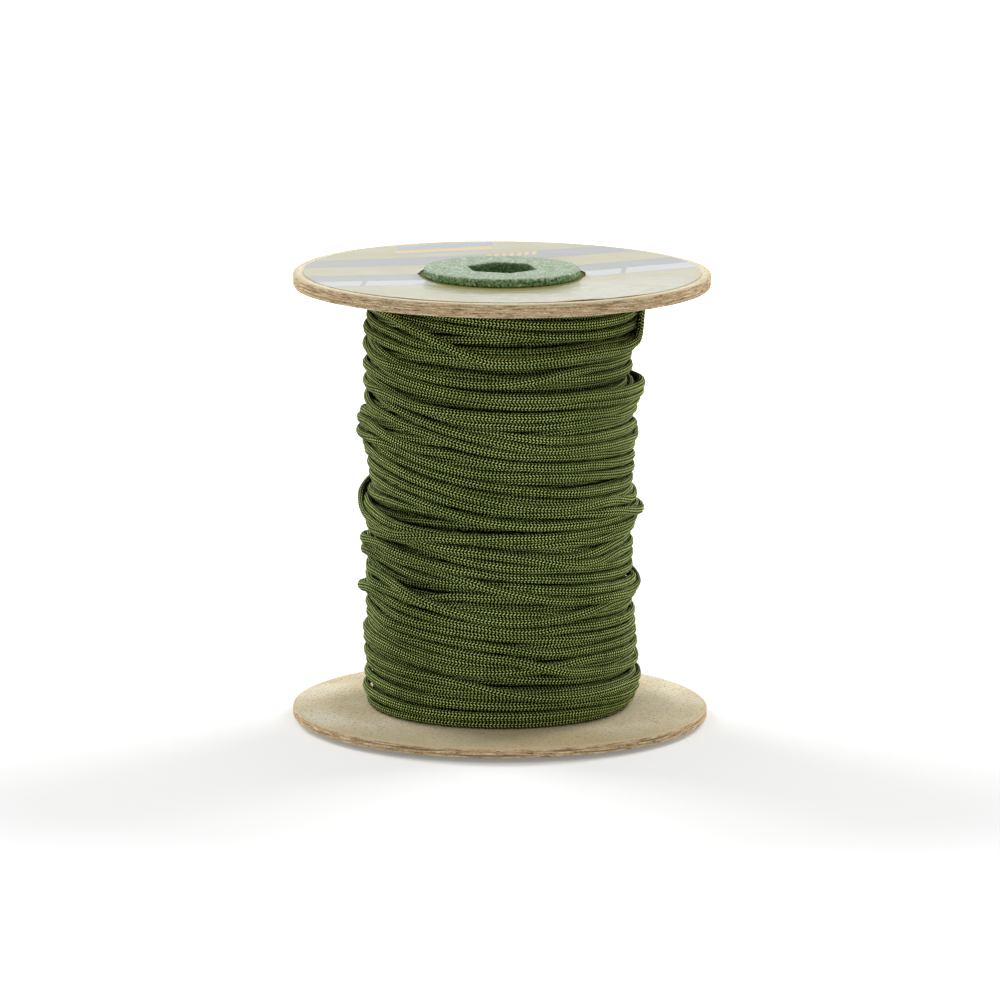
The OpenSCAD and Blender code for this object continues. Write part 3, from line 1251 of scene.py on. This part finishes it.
@dataclass
class Winding:
    """The line on the drum, laid in passes between the flanges.

    Args:
        material: The line's finish.
        braid: The line's make.
        hand: The hand that guides it.
        seed: Start of the random numbers.
        mean_r: Mean radius of the outer layer, to which its rings and maps are spaced.
        start_r: Radius at which the first pass is laid.
        laid_width: Width that a turn takes up.
        laid_thickness: Thickness that a turn adds.
        spread: How far the line reaches into the dish of each flange.
        search: How far a turn may look for a valley, in cells.
        stride: Stations between two places at which it looks.
        stray_cost: What it costs to lie beside the guide, against lying a millimetre higher.
        step_cost: What it costs to step one cell aside.
        held_cost: What keeps a turn on the part of it that is laid already.
        feel: Distance to either side over which a slope is felt.
        grip: Slope on which the line still doesn't slip.
        slip: How far it slips at once for a slope of 1, in millimetres.
        rounds: How often it slips.
        most_slip: How far it slips at once at most.
        slide: How far it may slide from its guide in all.
        sink: How far it sinks into what it lies on.
        most_roll: How far it may roll on its side.
        bend: Stations over which its height is smoothed.
        valley_bend: Stations over which its way into a valley is smoothed.
        slip_bend: Stations over which its slipping is smoothed.
        rest_bend: Stations over which its radius and roll are smoothed.
        roll_bend: Stations over which the slope that rolls it is smoothed.
        hold: Stations over which the last turn comes to keep to its guide.
        ahead: Stations that are looked at past the end of a turn.
        lead: Stations before its start that tie it to the turn before.
        ease: Stations over which it comes away from that turn.
        join: Share of a turn over which a pass goes on from the one before.
        tucked: Share of a turn over which the end is tucked in.
        tuck: How deep it is tucked in.
        pieces: Pieces that the outer layer is dealt out to.
        rings_per_stitch: Rings of the outer layer in the length of a stitch.
        passes: The passes, from the first.
        last_knots: The last turn's height in millimetres at angles to the right of the front.
        last_proud: Angle, width and height of the places where it stands off.
        loose: Angle, height, width and size of each loop that stands off elsewhere.
        drum: The drum, as the line fills it.
    """

    material: bpy.types.Material
    braid: Braid
    hand: Hand = Hand()
    seed: int = 7
    mean_r: float = 37.0 * MM
    start_r: float = 31.0 * MM
    laid_width: float = 2.65 * MM
    laid_thickness: float = 1.9 * MM
    spread: float = 0.55 * MM
    search: int = 14
    stride: int = 4
    stray_cost: float = 0.03
    step_cost: float = 0.04
    held_cost: float = 50.0
    feel: float = 0.4 * MM
    grip: float = 0.16
    slip: float = 0.35
    rounds: int = 12
    most_slip: float = 0.25 * MM
    slide: float = 3.0 * MM
    sink: float = 0.3 * MM
    most_roll: float = 0.6
    bend: float = 3.0
    valley_bend: float = 11.0
    slip_bend: float = 9.0
    rest_bend: float = 4.0
    roll_bend: float = 6.0
    hold: int = 60
    ahead: int = 120
    lead: int = 24
    ease: int = 16
    join: float = 0.2
    tucked: float = 0.15
    tuck: float = 4.0 * MM
    pieces: int = 9
    rings_per_stitch: float = 3.1
    passes: tuple[Pass, ...] = (
        Pass(way=-1, pitch=2.80 * MM, jitter=0.10 * MM, wobble=0.20 * MM, kicks=0, lean=0.0 * MM,
             floor=30.1 * MM, foot=(0.2 * MM, 0.2 * MM), head=(0.0, 0.2 * MM)),
        Pass(way=+1, pitch=2.80 * MM, jitter=0.25 * MM, wobble=0.40 * MM, kicks=1, lean=0.8 * MM,
             floor=31.3 * MM, foot=(0.5 * MM, 0.4 * MM), head=(0.0, 0.6 * MM)),
        Pass(way=-1, pitch=2.75 * MM, jitter=0.35 * MM, wobble=0.60 * MM, kicks=4, lean=1.8 * MM,
             floor=32.5 * MM, foot=(1.3 * MM, 0.6 * MM), head=(0.0, 1.2 * MM)),
        Pass(way=+1, pitch=2.75 * MM, jitter=0.50 * MM, wobble=0.80 * MM, kicks=8, lean=3.4 * MM,
             floor=33.8 * MM, foot=(2.6 * MM, 1.8 * MM), head=(0.4 * MM, 2.2 * MM)),
    )
    last_knots: tuple[Span, ...] = (
        (180, 119.3), (120, 119.0), (100, 118.5), (84, 117.2), (77, 115.3), (75.7, 111.9), (72.6, 108.6),
        (61, 107.3), (44, 107.4), (24, 106.9), (7, 106.0), (-5, 106.0), (-13, 107.7), (-21, 109.3),
        (-28, 111.2), (-35, 112.9), (-46, 115.1), (-53.5, 116.7), (-80, 118.5), (-130, 119.3), (-230, 119.3),
    )
    last_proud: tuple[tuple[float, float, float], ...] = ((74, 12, 0.6 * MM), (-38, 18, 1.6 * MM))
    loose: tuple[tuple[float, float, float, float], ...] = (
        (-82, 101.0 * MM, 9, 0.6 * MM), (-84, 73.0 * MM, 8, 0.5 * MM), (86, 113.0 * MM, 12, 0.7 * MM),
        (-34, 117.5 * MM, 13, -1.3 * MM), (152, 96.0 * MM, 9, 0.8 * MM),
        (-150, 44.0 * MM, 10, 0.7 * MM), (118, 27.0 * MM, 9, 0.6 * MM),
    )
    drum: Drum = field(init=False)

    def turn_angle(self, turns: np.ndarray) -> np.ndarray:
        """Compass angle after some turns: from the back, clockwise as seen from above."""
        return math.pi / 2 - 2 * math.pi * turns

    def front_angle(self, turns: np.ndarray) -> np.ndarray:
        """Angle to the right of the front, in radians, after some turns."""
        return self.turn_angle(turns) + math.pi / 2

    def guide(self, laid: Pass, rng: np.random.Generator) -> np.ndarray:
        """Heights at which a hand guides the line through one pass.

        Args:
            laid: The pass.
            rng: Source of the random numbers.

        Returns:
            The height at each station.
        """
        hand, stations = self.hand, self.drum.STATIONS
        span = self.drum.high - self.drum.low
        steps = []
        while sum(steps) < span:
            steps.append(max(hand.least_step, rng.normal(laid.pitch, laid.jitter)))
        count = len(steps)
        marks = np.concatenate([[0], np.cumsum(steps)]) * span / sum(steps)
        size = count * stations
        turns = np.arange(size) / stations
        along = self.stepped(turns, marks)
        fade = (np.minimum(turns, count - turns) / hand.steady).clip(0, 1)
        fade = fade * fade * (3 - 2 * fade)
        lean = laid.lean * (1 + drift(size, hand.slow * stations, hand.lean_change, rng))
        swing = self.front_angle(turns) - hand.lean_towards
        swing += drift(size, hand.slow * stations, hand.turn_change, rng)
        tilt = lean * (np.cos(swing) + hand.twice * np.cos(2 * swing))
        along += drift(size, hand.stray * stations, laid.wobble, rng) * fade
        for _ in range(laid.kicks):
            middle = rng.uniform(hand.kick_margin, count - hand.kick_margin)
            wide = rng.uniform(*hand.kick_width)
            kick = rng.choice([-1, 1]) * rng.uniform(*hand.kick_size) * MM
            along += kick * np.exp(-0.5 * ((turns - middle) / wide) ** 2)
        start = self.drum.low if laid.way > 0 else self.drum.high
        return (start + laid.way * along + tilt * fade).clip(self.drum.low, self.drum.high)

    def stepped(self, turns: np.ndarray, marks: np.ndarray) -> np.ndarray:
        """Go along the drum partly at a steady rate, and partly in one step in each turn.

        Args:
            turns: Turns laid so far, at each station.
            marks: Distance along the drum after each whole turn.

        Returns:
            Distance along the drum at each station.
        """
        hand, counts = self.hand, np.arange(len(marks))
        nearest = np.floor(turns - hand.step_at + 0.5)
        phase = turns - hand.step_at - nearest
        step = 0.5 + 0.5 * np.tanh(phase / hand.step_width) / math.tanh(0.5 / hand.step_width)
        along = hand.step_share * np.interp((nearest + step).clip(0, len(marks) - 1), counts, marks)
        return along + (1 - hand.step_share) * np.interp(turns, counts, marks)

    def last_turn(self) -> np.ndarray:
        """Heights of the last turn, which sags off the upper flange in front and is tucked in behind.

        Returns:
            The height at each station.
        """
        turns = np.array([(180 - angle) / 360 for angle, _ in self.last_knots])
        heights = np.array([height * MM for _, height in self.last_knots])
        stations = np.arange(int(turns[-1] * self.drum.STATIONS)) / self.drum.STATIONS
        return blur(np.interp(stations, turns, heights), self.bend).clip(self.drum.low, self.drum.high)

    def valley(self, stations: np.ndarray, guide: np.ndarray, start: np.ndarray) -> np.ndarray:
        """Find the easiest way to lie near the guide, along the valleys between the turns below.

        Args:
            stations: Number of each station.
            guide: Guided height there.
            start: Sideways shift over the first stations, which are already laid.

        Returns:
            Sideways shift at each station.
        """
        drum, search = self.drum, self.search
        shifts = np.arange(-search, search + 1) * drum.CELL
        some = np.arange(0, len(stations), self.stride)
        cost = np.stack([
            drum.rest(stations[some], (guide[some] + shift).clip(drum.low, drum.high)) / MM
            + self.stray_cost * (shift / MM) ** 2
            for shift in shifts
        ], axis=1)
        known = some[some < len(start)]
        if len(known):
            fixed = np.rint(start[known] / drum.CELL).astype(int).clip(-search, search) + search
            cost[:len(known)] += self.held_cost
            cost[np.arange(len(known)), fixed] -= self.held_cost
        track = self.cheapest(cost)
        return np.interp(np.arange(len(stations)), some, (track - search) * drum.CELL)

    def cheapest(self, cost: np.ndarray) -> np.ndarray:
        """Find the cheapest track through a table, one column aside at most in each row.

        Args:
            cost: Cost of each place, with a row for each step of the track.

        Returns:
            The track's column in each row.
        """
        total = cost[0].copy()
        came = np.zeros(cost.shape, int)
        places = np.arange(cost.shape[1])
        for row in range(1, len(cost)):
            padded = np.pad(total, 1, constant_values=np.inf)
            options = np.stack([padded[:-2] + self.step_cost, padded[1:-1], padded[2:] + self.step_cost])
            best = options.argmin(axis=0)
            came[row] = best - 1
            total = options[best, places] + cost[row]
        at = int(total.argmin())
        track = np.zeros(len(cost))
        for row in range(len(cost) - 1, -1, -1):
            track[row] = at
            at = min(max(at + came[row, at], 0), cost.shape[1] - 1)
        return track

    def taut(self, radii: np.ndarray) -> np.ndarray:
        """Pull the line taut, so that it spans the hollows between the places that it rests on.

        Args:
            radii: Radius at which it would rest, at each station.

        Returns:
            Radius of the taut line there.
        """
        step = 2 * math.pi / self.drum.STATIONS
        inverse = 1 / radii
        held = [0]
        for i in range(1, len(radii)):
            while len(held) >= 2:
                a, b = held[-2:]
                span = (i - a) * step
                chord = inverse[a] * math.sin((i - b) * step) + inverse[i] * math.sin((b - a) * step)
                if chord / math.sin(span) >= inverse[b]:
                    break
                held.pop()
            held.append(i)
        pulled = radii.copy()
        for a, b in zip(held[:-1], held[1:]):
            between = np.arange(a, b + 1)
            chord = inverse[a] * np.sin((b - between) * step) + inverse[b] * np.sin((between - a) * step)
            pulled[between] = math.sin((b - a) * step) / chord
        return pulled

    def slope(self, stations: np.ndarray, heights: np.ndarray, sigma: float) -> np.ndarray:
        """Work out how steeply sideways the surface under the line slopes.

        Args:
            stations: Number of each station.
            heights: Height of the line there.
            sigma: Width of the smoothing, in stations.

        Returns:
            The slope at each station.
        """
        rise = self.drum.rest(stations, heights + self.feel) - self.drum.rest(stations, heights - self.feel)
        return blur(rise / (2 * self.feel), sigma)

    def settled(self, at: np.ndarray, guide: np.ndarray, fixed: np.ndarray, free: np.ndarray) -> np.ndarray:
        """Find a valley for a stretch of line, and let it slip further down.

        Args:
            at: Number of each station.
            guide: Guided height there.
            fixed: Sideways shift over the first stations, which are laid already.
            free: How free the line is to leave its guide, from 0 to 1.

        Returns:
            Sideways shift at each station.
        """
        drum, lead = self.drum, len(fixed)
        shift = blur(self.valley(at, guide, fixed), self.valley_bend)
        shift[:lead] = fixed
        for _ in range(self.rounds):
            steep = self.slope(at, (guide + shift).clip(drum.low, drum.high), self.bend)
            pull = np.sign(steep) * (np.abs(steep) - self.grip).clip(0) * self.slip * MM
            shift = blur(shift - pull.clip(-self.most_slip, self.most_slip), self.slip_bend)
            shift = shift.clip(-self.slide, self.slide) * free
            shift[:lead] = fixed
        return shift

    def lay(self, guide: np.ndarray, held_from: int) -> Run:
        """Lay one pass of line on the drum, a turn at a time.

        Args:
            guide: Guided height at each station.
            held_from: Station from which the line keeps to its guide.

        Returns:
            The line's height, radius and roll at each station.
        """
        count, drum = len(guide), self.drum
        heights, radii, rolls = guide.copy(), np.zeros(count), np.zeros(count)
        free = ((held_from - np.arange(count)) / self.hold).clip(0, 1)
        for start in range(0, count, drum.STATIONS):
            stop = min(start + drum.STATIONS, count)
            lead = min(start, self.lead)
            at = np.arange(start - lead, min(stop + self.ahead, count))
            shift = self.settled(at, guide[at], (heights - guide)[at[:lead]], free[at])
            height = (guide[at] + blur(shift, self.bend)).clip(drum.low, drum.high)
            height[:lead] = heights[at[:lead]]
            rest = drum.rest(at, height) - self.sink
            rest[:lead] = radii[at[:lead]]
            radius = blur(self.taut(rest), self.rest_bend)
            if lead:
                radius[:lead] = radii[at[:lead]]
                away = (np.arange(len(radius) - lead) / self.ease).clip(0, 1)
                radius[lead:] = radius[lead:] * away + radii[at[lead - 1]] * (1 - away)
            roll = np.arctan(self.slope(at, height, self.roll_bend)).clip(-self.most_roll, self.most_roll)
            laid = slice(lead, lead + stop - start)
            heights[start:stop], radii[start:stop], rolls[start:stop] = height[laid], radius[laid], roll[laid]
            drum.cover(at[laid], height[laid], radius[laid])
        return heights, radii, blur(rolls, self.rest_bend)

    def build(self) -> list[bpy.types.Object]:
        """Wind the drum and build the pieces that show its layers.

        Returns:
            The pieces, from the innermost.
        """
        rng = np.random.default_rng(self.seed)
        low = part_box("bottom_flange_ply_1")[1].z
        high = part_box("top_flange_ply_1")[0].z
        self.drum = Drum(low - self.spread, high + self.spread, self.start_r - self.laid_thickness / 2,
                         self.laid_width, self.laid_thickness)
        runs = self.wind(rng)
        sides = 2 * self.braid.rows
        spacing = self.braid.stitch / self.rings_per_stitch
        made = [self.drum_piece(low, high)]
        made += self.layer("line_third_layer", runs[1], rng, pieces=1, sides=6, spacing=2.4 * MM)
        made += self.layer("line_second_layer", runs[2], rng, pieces=2, sides=8, spacing=1.3 * MM)
        made += self.layer("line_outer_layer", runs[3], rng, pieces=self.pieces, sides=sides, spacing=spacing)
        return made

    def wind(self, rng: np.random.Generator) -> list[Run]:
        """Lay every pass, and the last turn.

        Args:
            rng: Source of the random numbers.

        Returns:
            Height, radius and roll of the line at each station, for each pass.
        """
        runs = []
        for laid in self.passes:
            self.drum.fill(laid)
            guide = self.guide(laid, rng)
            held_from = 10 * len(guide)
            if laid is self.passes[-1]:
                held_from = len(guide)
                guide = np.concatenate([guide, self.last_turn()])
            runs.append(self.lay(guide, held_from))
            radii = runs[-1][1] / MM
            LOG.info("pass at radius %.2f to %.2f mm, mean %.2f mm", radii.min(), radii.max(), radii.mean())
        for before, after in zip(runs, runs[1:]):
            self.go_on(before, after)
        self.loosen(runs[-1][0], runs[-1][1])
        self.finish_end(runs[-1][1])
        return runs

    def go_on(self, before: Run, after: Run) -> None:
        """Let a pass go on from the place where the pass before it came to the flange.

        Args:
            before: Height, radius and roll of the line in the first pass.
            after: The same in the second pass, which is changed over its first part of a turn.
        """
        near = (1 - np.arange(len(after[0])) / (self.join * self.drum.STATIONS)).clip(0)
        share = near * near * (3 - 2 * near)
        for old, new in zip(before, after):
            new += (old[-1] - new[0]) * share

    def loosen(self, heights: np.ndarray, radii: np.ndarray) -> None:
        """Let a few turns stand off the rest in a loose loop.

        Args:
            heights: Height of the line at each station.
            radii: Its radius there, which is changed.
        """
        turns = np.arange(len(radii)) / self.drum.STATIONS
        front = np.degrees(self.front_angle(turns))
        for middle, height, wide, high in self.loose:
            away = (front - middle + 180) % 360 - 180
            near = np.abs(away) < 2
            nearest = np.flatnonzero(near)[np.abs(heights[near] - height).argmin()]
            here = np.abs(turns - turns[nearest]) < 0.5
            radii += high * np.exp(-0.5 * (away / wide) ** 2) * here

    def finish_end(self, radii: np.ndarray) -> None:
        """Let the last turn stand proud where it leaves the flange and comes back to it, and tuck in its end.

        Args:
            radii: Radius of the line at each station, which is changed.
        """
        count = len(radii)
        turns = np.arange(count) / self.drum.STATIONS
        first = turns[-1] - (self.last_knots[0][0] - self.last_knots[-1][0]) / 360
        front = 180 - 360 * (turns - first)
        for middle, wide, high in self.last_proud:
            radii += high * np.exp(-0.5 * ((front - middle) / wide) ** 2) * (turns > first)
        from_end = np.arange(count)[::-1] / (self.tucked * self.drum.STATIONS)
        radii -= self.tuck * (1 - from_end).clip(0) ** 2

    def drum_piece(self, low: float, high: float) -> bpy.types.Object:
        """Build the layers that are out of sight as one drum, ribbed by its turns.

        Args:
            low: Height of the lower flange's inner face.
            high: Height of the upper flange's inner face.

        Returns:
            The piece.
        """
        gap, rib, steps = 0.1 * MM, 0.5 * MM, 64
        bore_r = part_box("core_tube")[1].x + gap
        wraps = int((high - low) / self.laid_width)
        count = wraps * 4
        heights = np.linspace(low + gap, high - gap, count)
        radii = self.start_r + rib * np.abs(np.sin(math.pi * wraps * np.arange(count) / count))
        outline = [(bore_r, heights[0])] + list(zip(radii, heights)) + [(bore_r, heights[-1])]
        mesh = spun_mesh("line_inner_drum", outline, steps)
        mesh.uv_layers.new(name=BRAID_MAP)
        piece = place("line_inner_drum", mesh, self.material)
        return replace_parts(piece, "line_inner_layers")

    def layer(
        self, name: str, run: Run, rng: np.random.Generator, pieces: int, sides: int, spacing: float
    ) -> list[bpy.types.Object]:
        """Build one layer of line.

        Its turns are dealt out to the pieces one by one, so that each piece spans the whole drum.

        Args:
            name: Name of the pieces.
            run: Height, radius and roll of the line at each station.
            rng: Source of the random numbers.
            pieces: How many pieces share the layer.
            sides: Sides of the line's section.
            spacing: Distance between its rings.

        Returns:
            The pieces.
        """
        strand = self.strand(run, rng)
        turns = math.ceil(len(run[0]) / self.drum.STATIONS)
        made = []
        for first in range(pieces):
            tubes = [self.tube(strand, turn, sides, spacing) for turn in range(first, turns, pieces)]
            label = f"{name}_{first + 1:02d}"
            piece = place(label, self.tube_mesh(label, tubes, sides), self.material)
            made.append(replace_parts(piece, "line_outer_layer"))
        return made

    def strand(self, run: Run, rng: np.random.Generator) -> dict[str, np.ndarray]:
        """Work out a run of line at its stations.

        Args:
            run: Height, radius and roll of the line at each station.
            rng: Source of the random numbers.

        Returns:
            Its middle, the directions across it and out of it, its length in stitches and its twist.
        """
        heights, radii, rolls = (blur(row, 1.5) for row in run)
        count = len(heights)
        angle = self.turn_angle(np.arange(count) / self.drum.STATIONS)
        away = np.stack([np.cos(angle), np.sin(angle), np.zeros(count)], axis=1)
        middle = away * radii[:, None]
        middle[:, 2] = heights
        ahead = np.gradient(middle, axis=0)
        length = np.linalg.norm(ahead, axis=1)
        ahead /= length[:, None]
        wide = np.cross(ahead, away)
        wide /= np.linalg.norm(wide, axis=1)[:, None]
        out = np.cross(wide, ahead)
        cos, sin = np.cos(rolls)[:, None], np.sin(rolls)[:, None]
        return {
            "middle": middle,
            "wide": wide * cos + out * sin,
            "out": out * cos - wide * sin,
            "along": np.cumsum(length) / self.braid.stitch,
            "twist": drift(count, 0.8 * self.drum.STATIONS, 0.8, rng),
        }

    def tube(self, strand: dict[str, np.ndarray], turn: int, sides: int, spacing: float) -> Rings:
        """Work out the rings of one turn.

        Args:
            strand: The run at its stations.
            turn: Number of the turn.
            sides: Sides of the section.
            spacing: Distance between rings.

        Returns:
            The points of each ring, and how far along the line it lies, in stitches.
        """
        first = turn * self.drum.STATIONS
        last = min(first + self.drum.STATIONS, len(strand["along"]) - 1)
        count = max(4, round(2 * math.pi * self.mean_r * (last - first) / self.drum.STATIONS / spacing)) + 1
        at = np.linspace(first, last, count)
        before = np.floor(at).astype(int).clip(first, last - 1)
        share = at - before

        def between(row: np.ndarray) -> np.ndarray:
            """Read a row of the strand between its stations."""
            part = share if row.ndim == 1 else share[:, None]
            return row[before] * (1 - part) + row[before + 1] * part

        braid, fields = self.braid, ("middle", "wide", "out", "along", "twist")
        middle, wide, out, along, twist = (between(strand[key]) for key in fields)
        around = np.arange(sides) * braid.rows / sides
        places = 2 * math.pi * around[None, :] / braid.rows + twist[:, None]
        across, up = braid.section(places)
        lift = (braid.height(along[:, None], around[None, :]) - braid.level) * braid.relief
        swell = 1 + lift * 2 / braid.thickness
        across, up = (across * swell)[..., None], (up * swell)[..., None]
        return middle[:, None] + across * wide[:, None] + up * out[:, None], along

    def tube_mesh(self, name: str, tubes: list[Rings], sides: int) -> bpy.types.Mesh:
        """Build one mesh from the rings of several turns.

        Args:
            name: The mesh's name.
            tubes: Rings of each turn, and how far along the line they lie.
            sides: Sides of the section.

        Returns:
            The mesh, with a map of stitches and rows, and a map without overlaps.
        """
        bm = bmesh.new()
        bm.loops.layers.uv.new(BRAID_MAP)
        for index, (rings, _) in enumerate(tubes):
            bmesh.ops.create_grid(
                bm,
                x_segments=len(rings) - 1,
                y_segments=sides,
                size=0.5,
                matrix=Matrix.Translation((0.5, 0.5, index)),
                calc_uvs=True,
            )
        mesh = bpy.data.meshes.new(name)
        bm.to_mesh(mesh)
        bm.free()
        self.wrap(mesh, tubes, sides)
        bm = bmesh.new()
        bm.from_mesh(mesh)
        bmesh.ops.remove_doubles(bm, verts=bm.verts, dist=0.001 * MM)
        bmesh.ops.holes_fill(bm, edges=[edge for edge in bm.edges if edge.is_boundary], sides=0)
        bmesh.ops.recalc_face_normals(bm, faces=bm.faces)
        bm.to_mesh(mesh)
        bm.free()
        return mesh

    def wrap(self, mesh: bpy.types.Mesh, tubes: list[Rings], sides: int) -> None:
        """Roll flat grids up into the turns, and write their maps.

        Args:
            mesh: The grids, one unit square above the other.
            tubes: Rings of each turn, and how far along the line they lie.
            sides: Sides of the section.
        """
        flat = mesh_points(mesh)
        turn = np.rint(flat[:, 2]).astype(int)
        lengths = np.array([len(rings) - 1 for rings, _ in tubes])
        ring = np.rint(flat[:, 0] * lengths[turn]).astype(int)
        side = np.rint(flat[:, 1] * sides).astype(int)
        points = np.empty(flat.shape)
        for index, (rings, _) in enumerate(tubes):
            mine = turn == index
            points[mine] = rings[ring[mine], side[mine] % sides]
        corners = np.empty(len(mesh.loops), int)
        mesh.loops.foreach_get("vertex_index", corners)
        along = np.concatenate([places for _, places in tubes])
        starts = np.concatenate([[0], np.cumsum(lengths + 1)[:-1]])
        stitches = along[starts[turn] + ring][corners]
        rows = side[corners] * self.braid.rows / sides
        mesh.uv_layers[BRAID_MAP].data.foreach_set("uv", np.stack([stitches, rows], axis=1).ravel())
        self.write_bake_map(mesh, turn[corners], ring[corners], side[corners] / sides, lengths)
        move_points(mesh, points)

    def write_bake_map(
        self,
        mesh: bpy.types.Mesh,
        turn: np.ndarray,
        ring: np.ndarray,
        around: np.ndarray,
        lengths: np.ndarray,
    ) -> None:
        """Lay the turns out flat beside each other, cut into strips that fill a square.

        Args:
            mesh: The mesh, all of whose faces have four corners.
            turn: Turn of each corner.
            ring: Ring of each corner.
            around: Place of each corner round the section, from 0 to 1.
            lengths: Number of steps between the rings of each turn.
        """
        girth = math.pi * (self.braid.width + self.braid.thickness) / 2
        total = len(lengths) * 2 * math.pi * self.mean_r
        cuts = max(1, round(2 * math.pi * self.mean_r / math.sqrt(total * girth)))
        strips = len(lengths) * cuts
        first = ring.reshape(-1, 4).min(axis=1).repeat(4)
        size = np.ceil(lengths[turn] / cuts)
        cut = np.floor(first / size)
        share = (ring - cut * size) / size
        gap, edge = 0.06, 0.004
        row = (turn * cuts + cut + gap + (1 - 2 * gap) * around) / strips
        bake = mesh.uv_layers.new(name=BAKE_MAP)
        bake.data.foreach_set("uv", np.stack([edge + (1 - 2 * edge) * share, row], axis=1).ravel())
        mesh.uv_layers[BRAID_MAP].active_render = True


@dataclass
class Studio:
    """Camera, lamps and floor."""

    eye: Vector = field(default_factory=lambda: Vector((-0.25, -1892.7, 417.9)) * MM)
    tilt: float = 0.1862
    roll: float = 0.0051
    lens: float = 252.0
    sensor: float = 36.0
    fill: float = 0.5
    clip: Span = (0.1, 20.0)
    middle: Vector = field(default_factory=lambda: Vector((0, 0, 62)) * MM)
    lamp_place: Vector = field(default_factory=lambda: Vector((830, 800, 880)) * MM)
    lamp_size: float = 600 * MM
    lamp_power: float = 9.3
    floor_half: float = 6.0

    def build(self) -> None:
        """Set up the whole studio."""
        self.camera()
        self.world()
        for name, side in (("left_softbox", -1), ("right_softbox", 1)):
            self.lamp(name, Vector((side * self.lamp_place.x, self.lamp_place.y, self.lamp_place.z)))
        self.floor()
        bpy.context.scene.view_settings.view_transform = "Standard"

    def camera(self) -> None:
        """Place the camera."""
        data = bpy.data.cameras.new("camera")
        data.lens, data.sensor_width, data.sensor_fit = self.lens, self.sensor, "HORIZONTAL"
        data.clip_start, data.clip_end = self.clip
        camera = bpy.data.objects.new("camera", data)
        turned = Matrix.Rotation(math.pi / 2 - self.tilt, 4, "X") @ Matrix.Rotation(self.roll, 4, "Z")
        camera.matrix_world = Matrix.Translation(self.eye) @ turned
        bpy.context.scene.collection.objects.link(camera)
        bpy.context.scene.camera = camera

    def world(self) -> None:
        """Light the scene softly from all round, and show the camera a white background."""
        world = bpy.data.worlds.new("studio")
        g = Graph(world)
        strength = g.looked_at().span((0.0, 1.0), (self.fill, 1.0))
        background = g.node("ShaderNodeBackground", {"Color": WHITE, "Strength": strength})
        g.node("ShaderNodeOutputWorld", {"Surface": Wire(g, background.outputs[0])})
        bpy.context.scene.world = world

    def lamp(self, name: str, where: Vector) -> None:
        """Hang a square softbox that points at the spool.

        Args:
            name: The lamp's name.
            where: Its place.
        """
        data = bpy.data.lights.new(name, "AREA")
        data.size, data.energy = self.lamp_size, self.lamp_power
        lamp = bpy.data.objects.new(name, data)
        aim = (self.middle - where).to_track_quat("-Z", "Y").to_matrix().to_4x4()
        lamp.matrix_world = Matrix.Translation(where) @ aim
        bpy.context.scene.collection.objects.link(lamp)

    def floor(self) -> None:
        """Lay the floor under the spool."""
        bm = bmesh.new()
        bmesh.ops.create_grid(bm, x_segments=1, y_segments=1, size=self.floor_half)
        mesh = bpy.data.meshes.new("floor")
        bm.to_mesh(mesh)
        bm.free()
        mesh.materials.append(FloorFinish().material())
        floor = bpy.data.objects.new("floor", mesh)
        bpy.context.scene.collection.objects.link(floor)


def dress_tube(material: bpy.types.Material) -> None:
    """Give the core tube, whose CAD shape is right, its finish.

    Args:
        material: The finish.
    """
    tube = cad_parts["core_tube"]
    tube.data.materials.clear()
    tube.data.materials.append(material)


def main() -> None:
    """Build the studio and every piece of the spool."""
    logging.basicConfig(level=logging.INFO, format="%(name)s: %(message)s")
    Studio().build()
    board = BoardFinish().material()
    moulding = HubFinish().material()
    flanges = {side: Flange(side, board) for side in Side}
    for flange in flanges.values():
        flange.build()
    Label(flanges[Side.TOP], LabelFinish().material()).build()
    for side in Side:
        Hub(side, moulding).build()
    dress_tube(KraftFinish().material())
    braid = Braid()
    Winding(BraidFinish(braid).material(), braid).build()


if __name__ == "__main__":
    main()
